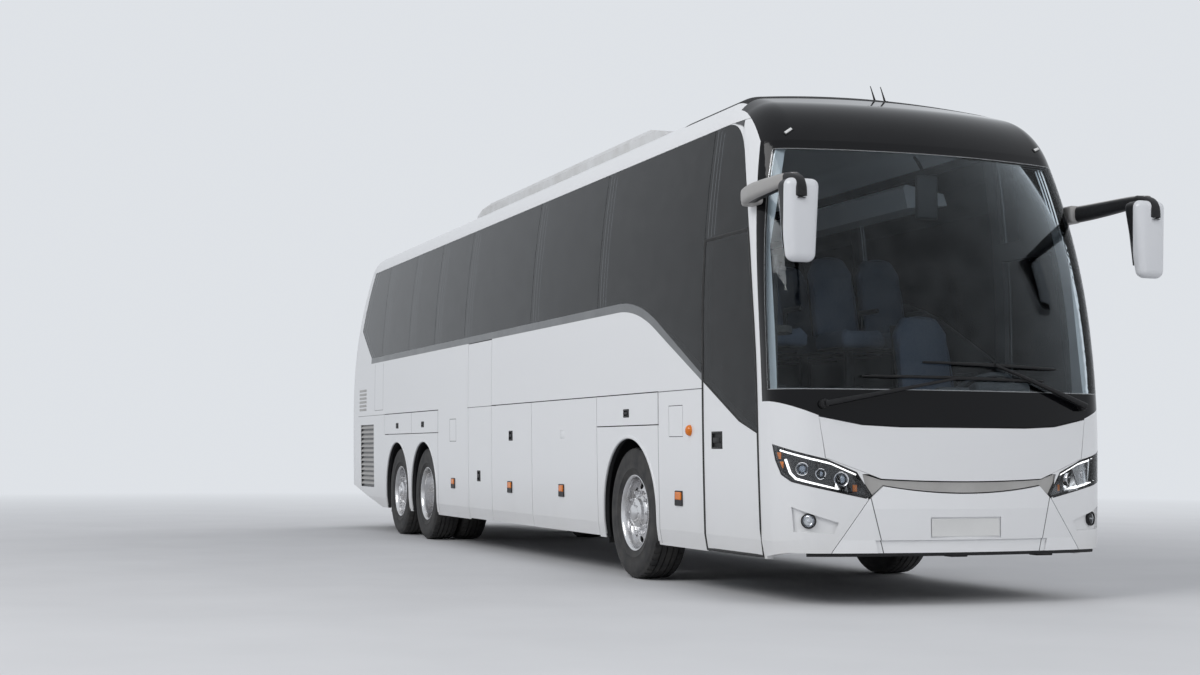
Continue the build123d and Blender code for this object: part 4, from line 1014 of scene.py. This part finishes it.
# Blank number plates, front and rear
plateSettings = {"size": (0.006, 0.520, 0.118), "front": 0.5155, "rear": 0.650, "frame": (0.006, -0.001)}
plateWhite = makeSimple("plateWhite", (0.72, 0.72, 0.71), (0.66, 0.66, 0.65), scale=40, rough=0.35, bump=0.02)


def makePlate(name, x, z):
    plate = block(name, (x, 0, z), plateSettings["size"], 0.0015)
    facing = 1 if x > 0 else -1
    insetFaces(plate, lambda centre, normal: normal.x * facing > 0.9 and abs(centre.x - x) > 0.0028,
               plateSettings["frame"])
    return finish(plate, plateWhite)


makePlate("frontPlate", onNose(0, plateSettings["front"]).x - 0.001, plateSettings["front"])
print("fog lamps and plate modelled")

# Mirrors: a head with a pale cover in front and a dark shell behind, on an arm from the body side
mirrorSettings = {
    "front": 6.868, "rear": 6.680, "inner": 1.206, "outer": 1.448, "foot": 2.210, "top": 2.746,
    "footDepth": 0.56, "footWidth": 0.80, "round": 0.060, "split": 6.788, "splitLean": 0.10,
    "splitZ": 2.5, "splitGap": 0.0015, "pane": (6.7165, -1.336, 2.500), "paneSize": (0.004, 0.176, 0.400),
    "arm": [(5.962, -1.300, 2.748), (6.100, -1.335, 2.752), (6.330, -1.348, 2.756), (6.560, -1.350, 2.760),
            (6.700, -1.350, 2.762), (6.785, -1.350, 2.752), (6.840, -1.350, 2.712), (6.852, -1.350, 2.660),
            (6.852, -1.350, 2.612)],
    "armSizes": [1.0, 0.98, 0.90, 0.78, 0.66, 0.60, 0.56, 0.55, 0.54],
}


def makeMirrorHead():
    s = mirrorSettings
    middle = (s["inner"] + s["outer"]) / 2
    head = block("mirrorHead", ((s["front"] + s["rear"]) / 2, -middle, (s["foot"] + s["top"]) / 2),
                 (s["front"] - s["rear"], s["outer"] - s["inner"], s["top"] - s["foot"]))
    pickFaces(head, lambda centre, normal: normal.z < -0.9)
    bpy.ops.transform.resize(value=(s["footDepth"], s["footWidth"], 1),
                             center_override=(s["front"], -middle - 0.03, s["foot"]))
    leaveEdit()
    applyModifier(head, "BEVEL", width=s["round"], segments=6, limit_method="NONE")
    return head


def cutMirror(piece, keepFront):
    s = mirrorSettings
    gap = s["splitGap"] if keepFront else -s["splitGap"]
    editMesh(piece, "SELECT")
    bpy.ops.mesh.bisect(plane_co=(s["split"] + gap, 0, s["splitZ"]), plane_no=(1, 0, -s["splitLean"]),
                        use_fill=True, clear_inner=keepFront, clear_outer=not keepFront)
    leaveEdit()
    fixNormals(piece)
    return piece


def armBar(name, first, last, width, height, shift=(0, 0, 0)):
    # a length of the mirror arm
    points = [Vector(point) + Vector(shift) for point in mirrorSettings["arm"][first:last]]
    return swept(name, points, width, height, radii=mirrorSettings["armSizes"][first:last], twist="Z_UP")


mirrorWhite = makePaint("mirrorCover", (0.66, 0.67, 0.69), (0.55, 0.55, 0.55))
armGrey = makeSimple("mirrorArmGrey", (0.30, 0.29, 0.28), (0.36, 0.35, 0.34), scale=26, rough=0.42, bump=0.04)
mirrorFace = makeSimple("mirrorGlass", (0.75, 0.77, 0.80), (0.70, 0.72, 0.75), scale=14, rough=0.03,
                        roughSpread=0.02, metallic=1.0, bump=0.0)
head = makeMirrorHead()
mirrorCover = cutMirror(copyOf(head, "mirrorCover"), True)
mirrorShell = cutMirror(head, False)
mirrorShell.name = "mirrorShell"
rearLean = math.atan((mirrorSettings["front"] - mirrorSettings["rear"]) * (1 - mirrorSettings["footDepth"])
                     / (mirrorSettings["top"] - mirrorSettings["foot"]))
bothSides([
    (mirrorCover, mirrorWhite), (mirrorShell, blackPlastic),
    (block("mirrorPane", mirrorSettings["pane"], mirrorSettings["paneSize"], 0.0015, turn=(0, -rearLean, 0)),
     mirrorFace),
    (armBar("mirrorArm", 0, 6, 0.098, 0.118), armGrey),
    (armBar("mirrorSleeve", 4, 9, 0.150, 0.112), blackPlastic),
    # a black bar along the inner and lower side of the grey arm
    (armBar("mirrorArmInnerBlack", 0, 6, 0.096, 0.112, (0, 0.012, -0.005)), blackPlastic),
    (block("mirrorArmFoot", (5.985, -1.278, 2.746), (0.170, 0.100, 0.128), 0.024, 3), armGrey),
], "mirror_shell", "mirrors")
print("mirrors modelled")

# Wipers: pivot and blade ends as (Y, Z)
wiperSettings = {
    "rows": [((-1.000, 1.325), (-0.740, 1.512), (0.640, 1.500)),
             ((0.984, 1.333), (-0.306, 1.610), (0.760, 1.585))],
    "bladeLift": 0.024, "rubberLift": 0.009, "rubberDrop": 0.004, "armLift": 0.056, "armDive": 0.018,
    "bladeSizes": [0.45, 0.8, 1, 1.1, 1.2, 1.3, 1.3, 1.3, 1.2, 1.1, 1, 0.8, 0.45],
    "armSizes": [1.8, 1.7, 1.4, 1.2, 1.05, 0.95, 0.85], "clipLift": 0.028, "capLift": 0.060,
    "axis": (1, 0, 0.15),
}


def onScreen(y, z, lift):
    return onNose(y, z, lift, ("windscreen", "hood", "front_mask"))


wiperParts = []
for index, (pivot, near, far) in enumerate(wiperSettings["rows"]):
    s = wiperSettings
    blade = [onScreen(y, z, s["bladeLift"]) for y, z in between(near, far, 12)]
    rubberLine = [onScreen(y, z - s["rubberDrop"], s["rubberLift"]) for y, z in between(near, far, 12)]
    middle = tuple((a + b) / 2 for a, b in zip(near, far))
    armLine = [onScreen(y, z, s["armLift"] - s["armDive"] * step / 6)
               for step, (y, z) in enumerate(between(pivot, middle, 6))]
    wiperParts += [
        swept(f"wiperBlade{index}", blade, 0.024, 0.018, radii=s["bladeSizes"], twist="Z_UP"),
        swept(f"wiperRubber{index}", rubberLine, 0.007, 0.010, twist="Z_UP"),
        swept(f"wiperArm{index}", armLine, 0.030, 0.020, radii=s["armSizes"], twist="Z_UP"),
        block(f"wiperClip{index}", onScreen(*middle, s["clipLift"]), (0.022, 0.060, 0.026), 0.005),
        aimed(rod(f"wiperPivot{index}", (0, 0, 0), 0.030, 0.052, "Y", 32, 0.006),
              onScreen(*pivot, s["clipLift"]), s["axis"]),
        aimed(rod(f"wiperCap{index}", (0, 0, 0), 0.019, 0.012, "Y", 24, 0.004),
              onScreen(*pivot, s["capLift"]), s["axis"]),
    ]
wipers = joined(wiperParts, "wiperSet")
finish(wipers, blackPlastic, "body", "black_trim")
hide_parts("wipers")
print("wipers modelled")

# Black rubber round the entrance door and its glass; points run down the curved front edge from
# frontStart, frontStep apart
doorSettings = {
    "rear": doorFront - 0.914, "sill": 0.312, "low": 0.314, "high": 2.538, "edge": 0.004, "seal": 0.021,
    "glassRear": doorFront - 0.906, "glassHigh": 2.530, "glassEdge": 0.012, "glassSeal": 0.015,
    "glassFoot": [(doorFront - 0.300, 1.226), (doorFront - 0.906, 1.520)],
    "glassCorner": (doorFront - 0.010, 1.137), "points": 17, "glassPoints": 11,
    "sink": 0.003, "frontStart": 2.42, "frontStep": 0.12, "bend": 1.2, "bendRadius": 5.25, "footLean": 0.02,
}


def pillarX(z):
    # front edge of the entrance door: leaning below the bend and an arc above it
    s = doorSettings
    if z < s["bend"]:
        return doorFront + s["footLean"] * (s["bend"] - z)
    return doorFront - s["bendRadius"] + math.sqrt(s["bendRadius"] ** 2 - (z - s["bend"]) ** 2)


def doorRubber(name, size, edge, corners, points, last=()):
    # corners at the back and the top, then points down the front edge, then the last corner
    s = doorSettings
    heights = [s["frontStart"] - s["frontStep"] * step for step in range(points)]
    ring = stretched(corners, s["frontStep"]) + [(pillarX(z) - edge, z) for z in heights] + list(last)
    line = [onSide(-1, x, z, -s["sink"]) for x, z in ring]
    finish(swept(name, line, size, size, closed=True, curved=False), rubberBlack, "front_door")


s = doorSettings
doorCorners = [(pillarX(s["sill"]) - s["edge"], s["low"]), (s["rear"], s["low"]), (s["rear"], s["high"]),
               (pillarX(s["high"]) - s["edge"], s["high"])]
glassCorners = s["glassFoot"] + [(s["glassRear"], s["glassHigh"]),
                                 (pillarX(s["glassHigh"]) - s["glassEdge"], s["glassHigh"])]
doorRubber("doorSeal", s["seal"], s["edge"], doorCorners, s["points"])
doorRubber("doorGlassSeal", s["glassSeal"], s["glassEdge"], glassCorners, s["glassPoints"],
           [s["glassCorner"]])

# Handles and latches in their pockets: body, side, distance behind the door's front edge, Z, width, height
pocketRows = [
    ("front_door", -1, 0.677, 1.092, 0.190, 0.124), ("middle_door", -1, 6.700, 0.756, 0.124, 0.112),
    ("luggage_door_right_rear", -1, 5.580, 1.161, 0.130, 0.100),
    ("luggage_door_left_rear", 1, 6.004, 1.161, 0.130, 0.100),
    ("flap_right_front", -1, 2.458, 1.316, 0.130, 0.068), ("flap_left_front", 1, 2.458, 1.316, 0.130, 0.068),
    ("flap_right_rear", -1, 9.004, 1.317, 0.130, 0.068), ("flap_right_rear", -1, 10.241, 1.317, 0.130, 0.068),
    ("flap_left_rear", 1, 9.004, 1.317, 0.130, 0.068), ("flap_left_rear", 1, 10.241, 1.317, 0.130, 0.068),
]
pocketLidSettings = {"back": 4.034, "z": 1.161, "sink": 0.0042, "size": (0.1235, 0.0085, 0.0715)}


def makeLatch(name, side, x, z, width, height):
    # a tray with a rim that lies on the skin, and a pull bar and a lock across it
    face = side * (sideFace(z) - 0.007)
    tray = block(name, (x, face, z), (width, 0.018, height), 0.005)
    insetFaces(tray, lambda centre, normal: normal.y * side > 0.9 and abs(centre.y - face) > 0.0085,
               (0.009, 0), (0.002, -0.013))
    bar = block(name + "Bar", onSide(side, x - width * 0.06, z, -0.004),
                (width * 0.62, 0.010, height * 0.30), 0.004)
    lock = rod(name + "Lock", onSide(side, x + width * 0.31, z, -0.009), height * 0.13, 0.012, "Y", 20, 0.002)
    return joined([tray, bar, lock], name)


for index, (body, side, back, z, width, height) in enumerate(pocketRows):
    finish(makeLatch(f"latch{index}", side, doorFront - back, z, width, height), blackPlastic, body)
for side, body in ((-1, "luggage_door_right_front"), (1, "luggage_door_left_front")):
    s = pocketLidSettings
    lid = block(f"pocketLid{side}", onSide(side, doorFront - s["back"], s["z"], -s["sink"]), s["size"], 0.002)
    finish(lid, paint, body)
print("door rubber and latches modelled")

# Side marker lamps: amber over black, and a round repeater in front of the front wheel
markerSettings = {
    "z": 0.664, "size": (0.140, 0.016, 0.112), "lens": (0.114, 0.014, 0.060), "rise": 0.018,
    "rows": [(1.385, "body"), (4.075, "luggage_door_{}_front"), (5.620, "luggage_door_{}_rear"),
             (7.690, "body")],
    "repeater": (1.160, 1.166),
    "repeaterShape": [(0, 0.034), (0.018, 0.032), (0.032, 0.024), (0.040, 0.010), (0.042, -0.004),
                      (0, -0.004)],
}
for side, hand in hands:
    s = markerSettings
    for index, (back, body) in enumerate(s["rows"]):
        x, z = doorFront - back, s["z"]
        shell = block(f"marker{hand}{index}", onSide(side, x, z, 0.002), s["size"], 0.006, 3)
        lensPlace = (x, side * (sideFace(z) + 0.005), z + s["rise"])
        lens = block(f"markerLens{hand}{index}", lensPlace, s["lens"], 0.006, 3)
        insetFaces(shell, lambda centre, normal: normal.y * side > 0.9, (0.007, -0.003))
        insetFaces(lens, lambda centre, normal: normal.y * side > 0.9, (0.008, 0.002))
        finish(shell, blackPlastic, body.format(hand.lower()))
        finish(lens, lampAmber, body.format(hand.lower()))
    back, z = s["repeater"]
    repeater = turned("repeater" + hand, s["repeaterShape"], 40)
    finish(aimed(repeater, onSide(side, doorFront - back, z), (0, side, 0)), lampAmber)

# Slats above the rear louvres
slatSettings = {"count": 6, "x": doorFront - 12.160, "low": 1.552, "step": 0.050,
                "size": (0.400, 0.010, 0.030), "lean": 0.16}
for side, hand in hands:
    s = slatSettings
    slats = [block(f"upperSlat{index}", onSide(side, s["x"], s["low"] + index * s["step"], -0.001), s["size"],
                   0.003, turn=(side * s["lean"], 0, 0)) for index in range(s["count"])]
    finish(joined(slats, "upperSlats" + hand), grilleGrey)

# Round lips on the wheel arches
archSettings = {"radius": 0.597, "centreZ": 0.5325, "foot": 0.330, "knee": 0.43, "steps": 24,
                "size": (0.030, 0.022), "sink": 0.004}
for name, axle in axles.items():
    for side, hand in hands:
        s = archSettings
        radius = s["radius"]
        angles = [math.pi * step / s["steps"] for step in range(s["steps"] + 1)]
        line = [(axle - radius, s["foot"]), (axle - radius, s["knee"])]
        line += [(axle - radius * math.cos(angle), s["centreZ"] + radius * math.sin(angle))
                 for angle in angles]
        line += [(axle + radius, s["knee"]), (axle + radius, s["foot"])]
        line = [onSide(side, x, z, -s["sink"]) for x, z in line]
        finish(swept(f"archLip{name.title()}{hand}", line, *s["size"]), paint)
print("side details modelled")

# Small lamps at the corners of the roof cap, the antenna and the parts under the bumper
for side, hand in hands:
    place, normal = struck(("roof_cap",), (9, side * 1.0, 3.215), (-1, 0, 0))
    seat = aimed(block("capLampSeat" + hand, (0, 0, 0), (0.082, 0.010, 0.034), 0.004), place, normal)
    glow = aimed(block("capLamp" + hand, (0, 0.005, 0), (0.064, 0.012, 0.020), 0.005, 3), place, normal)
    finish(seat, blackPlastic)
    finish(glow, plateWhite)
antennaSettings = {"x": 5.350, "rows": (0.030, 0.115), "foot": 3.606, "sizes": [1.6, 1.0, 0.5],
                   "line": [(0, 0, 3.610), (-0.006, -0.012, 3.660), (-0.020, -0.030, 3.735)]}
antennas = []
for index, y in enumerate(antennaSettings["rows"]):
    s = antennaSettings
    line = [(s["x"] + forward, y + aside, z) for forward, aside, z in s["line"]]
    antennas += [rod(f"antennaFoot{index}", (s["x"], y, s["foot"]), 0.032, 0.034, "Z", 32, 0.009),
                 swept(f"antennaRod{index}", line, 0.011, 0.011, radii=s["sizes"])]
finish(joined(antennas, "antenna"), blackPlastic)
valanceSettings = {"z": 0.372, "half": 1.10, "steps": 20, "back": Vector((0.020, 0, 0.030)),
                   "size": (0.030, 0.026), "hooks": (0.78, 0.10), "hookSize": (0.10, 0.13, 0.034)}
s = valanceSettings
valanceLine = [onNose(s["half"] * (2 * step / s["steps"] - 1), s["z"]) - s["back"]
               for step in range(s["steps"] + 1)]
valance = swept("bumperValance", valanceLine, *s["size"], twist="Z_UP")
hooks = [block(f"towHook{index}", (6.30, y, 0.322), s["hookSize"], 0.006)
         for index, y in enumerate(s["hooks"])]
finish(joined([valance] + hooks, "bumperValance"), blackPlastic)
print("cap lamps, antenna and valance modelled")

# Seats: two pads swelled as cloth, copied to every place; backPlace is where a leaning back starts
seatSettings = {
    "firstX": doorFront - 1.900, "pitch": 0.790, "rows": 13, "deck": 1.500, "places": (0.340, 0.780),
    "lean": 0.217, "backPlace": (-0.022, 0, 0.428), "shellPlace": (-0.018, 0, 0.428),
    "stairX": doorFront - 6.500, "stairHalf": 0.760, "driver": (5.065, 0.640, 0.960, 1.18),
    "voxel": 0.012, "pressure": 4.0, "cap": 0.014, "frames": 20, "triangles": 900, "padding": 0.85,
    "piping": [(-0.185, 0.03), (-0.190, 0.40), (-0.150, 0.56), (-0.110, 0.665), (0, 0.680), (0.110, 0.665),
               (0.150, 0.56), (0.190, 0.40), (0.185, 0.03)],
}


def makeCushion():
    cushion = block("seatCushion", (0.205, 0, 0.388), (0.500, 0.400, 0.100), 0.024, 3)
    insetFaces(cushion, lambda centre, normal: normal.z > 0.9 and centre.z > 0.43, (0.060, 0.008))
    return cushion


def leaned(piece, place=seatSettings["backPlace"]):
    return moved(piece, offset=place, turn=(0, -seatSettings["lean"], 0))


def makeBackPad():
    # a back that narrows at the head, with a hollow between its side wings
    pad = block("seatBack", (0, 0, 0.345), (0.086, 0.400, 0.690))
    editMesh(pad, "SELECT")
    for height in (0.20, 0.46, 0.56):
        bpy.ops.mesh.bisect(plane_co=(0, 0, height), plane_no=(0, 0, 1))
        bpy.ops.mesh.select_all(action="SELECT")
    leaveEdit()
    pickFaces(pad, lambda centre, normal: normal.z > 0.9)
    bpy.ops.transform.resize(value=(0.80, 0.66, 1), center_override=(0.01, 0, 0.690))
    leaveEdit()
    insetFaces(pad, lambda centre, normal: normal.x > 0.9 and centre.z < 0.56, (0.055, -0.016))
    applyModifier(pad, "BEVEL", width=0.020, segments=3, limit_method="ANGLE", angle_limit=math.radians(40))
    return leaned(pad)


def swelled(piece):
    s = seatSettings
    applyModifier(piece, "REMESH", mode="VOXEL", voxel_size=s["voxel"])
    before = [point.co.copy() for point in piece.data.vertices]
    makeActive(piece)
    cloth = piece.modifiers.new("Cloth", "CLOTH")
    cloth.settings.quality = 4
    cloth.settings.use_pressure = True
    cloth.settings.uniform_pressure_force = s["pressure"]
    cloth.settings.effector_weights.gravity = 0
    cloth.point_cache.frame_end = s["frames"]
    for number in range(1, s["frames"] + 1):
        bpy.context.scene.frame_set(number)
    bpy.ops.object.modifier_apply(modifier=cloth.name)
    for point, start in zip(piece.data.vertices, before):
        step = point.co - start
        if step.length > s["cap"]:
            point.co = start + step.normalized() * s["cap"]
    bpy.context.scene.frame_set(1)
    applyModifier(piece, "SMOOTH", factor=0.5, iterations=3)
    ratio = s["triangles"] / (2 * len(piece.data.polygons))
    applyModifier(piece, "DECIMATE", ratio=min(1.0, ratio))
    return piece


cushion = swelled(makeCushion())
backPad = swelled(makeBackPad())
piping = leaned(swept("seatPiping", [(0.040, y, z) for y, z in seatSettings["piping"]], 0.007, 0.007))
frameParts = [
    leaned(block("seatShell", (-0.052, 0, 0.330), (0.022, 0.380, 0.600), 0.009), seatSettings["shellPlace"]),
    block("armRest", (0.120, 0.216, 0.640), (0.300, 0.036, 0.040), 0.014, 3),
    block("armPost", (-0.010, 0.216, 0.560), (0.050, 0.026, 0.190), 0.008),
    block("seatFoot", (0.180, 0, 0.170), (0.060, 0.060, 0.340), 0.010),
    block("seatFootBar", (0.180, 0, 0.020), (0.360, 0.080, 0.030), 0.008),
    block("seatBeam", (0.200, 0, 0.325), (0.420, 0.360, 0.024), 0.008),
]
seatPlaces = []
for row in range(seatSettings["rows"]):
    x = seatSettings["firstX"] - row * seatSettings["pitch"]
    for side in (-1, 1):
        # no seats over the stairs of the second door
        if side > 0 or abs(x - seatSettings["stairX"]) >= seatSettings["stairHalf"]:
            seatPlaces += [(x, side * place, seatSettings["deck"], 1.0) for place in seatSettings["places"]]
seatPlaces.append(seatSettings["driver"])
seatRows = [("cushion", "seatCushions", [cushion], seatCloth),
            ("back", "seatBacks", [backPad, piping], seatCloth),
            ("frame", "seatFrames", frameParts, blackPlastic)]
for part, wholeName, parts, material in seatRows:
    model = joined(parts, "model" + part.title())
    copies = [moved(copyOf(model, f"{part}{index}"), offset=(x, y, z), scale=(1, width, 1))
              for index, (x, y, z, width) in enumerate(seatPlaces)]
    bpy.data.objects.remove(model)
    whole = joined(copies, wholeName)
    finish(whole, material, "body", "black_trim" if part == "frame" else "seat_fabric", 50)
    if part == "frame":
        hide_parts("seats")
print("seats modelled")

# Inner mirror and screens behind the windscreen
innerMirror = block("innerMirror", (6.120, 0.0, 2.790), (0.045, 0.170, 0.310), 0.020, 3)
innerStalk = swept("innerStalk", [(6.105, 0, 2.92), (6.06, 0, 3.02), (5.96, 0, 3.10)], 0.020, 0.020)
finish(joined([innerMirror, innerStalk], "innerMirror"), blackPlastic)
cluster = block("dashCluster", (5.985, 0.640, 1.445), (0.200, 0.460, 0.090), 0.030, 3, turn=(0, -0.35, 0))
radio = block("dashConsole", (5.990, 0.250, 1.420), (0.160, 0.260, 0.070), 0.020, 3, turn=(0, -0.30, 0))
finish(joined([cluster, radio], "dashPanels"), dashGrey)

# Rear end: slats in the engine lid, blank plate, reflectors and the high brake lamp
lidSettings = {
    "rows": 9, "low": 0.900, "step": 0.046, "half": 0.640, "slat": (0.016, 0.026), "handleZ": 1.365,
    "handle": [(-0.10, 0.0), (-0.09, 0.024), (0.09, 0.024), (0.10, 0.0)],
}
slats = []
for index in range(lidSettings["rows"]):
    z = lidSettings["low"] + index * lidSettings["step"]
    line = [onTail(lidSettings["half"] * (step / 6 - 1), z, 0.004) for step in range(13)]
    slats.append(swept(f"lidSlat{index}", line, *lidSettings["slat"], curved=False))
finish(joined(slats, "lidSlats"), blackPlastic, "engine_lid")
handleLine = [onTail(y, lidSettings["handleZ"], lift) for y, lift in lidSettings["handle"]]
finish(swept("lidHandle", handleLine, 0.018, 0.018, curved=False), blackPlastic, "engine_lid")
makePlate("rearPlate", onTail(0, plateSettings["rear"], 0.004, 0.004).x, plateSettings["rear"])
plateLamps = [block(f"plateLamp{index}", (onTail(y, 0.735, 0.012, 0.016).x, y, 0.728),
                    (0.030, 0.070, 0.022), 0.006) for index, y in enumerate((-0.16, 0.16))]
finish(joined(plateLamps, "plateLamps"), blackPlastic)
brakeLine = [onTail(-0.30 + 0.06 * step, 3.115, -0.002) for step in range(11)]
finish(swept("highBrakeLamp", brakeLine, 0.020, 0.034, curved=False), headRed)
for side, hand in hands:
    place = onTail(side * 0.93, 0.655, 0.002, 0.006)
    finish(block("rearReflector" + hand, place, (0.010, 0.150, 0.052), 0.004), headRed)
print("rear end and cabin modelled")
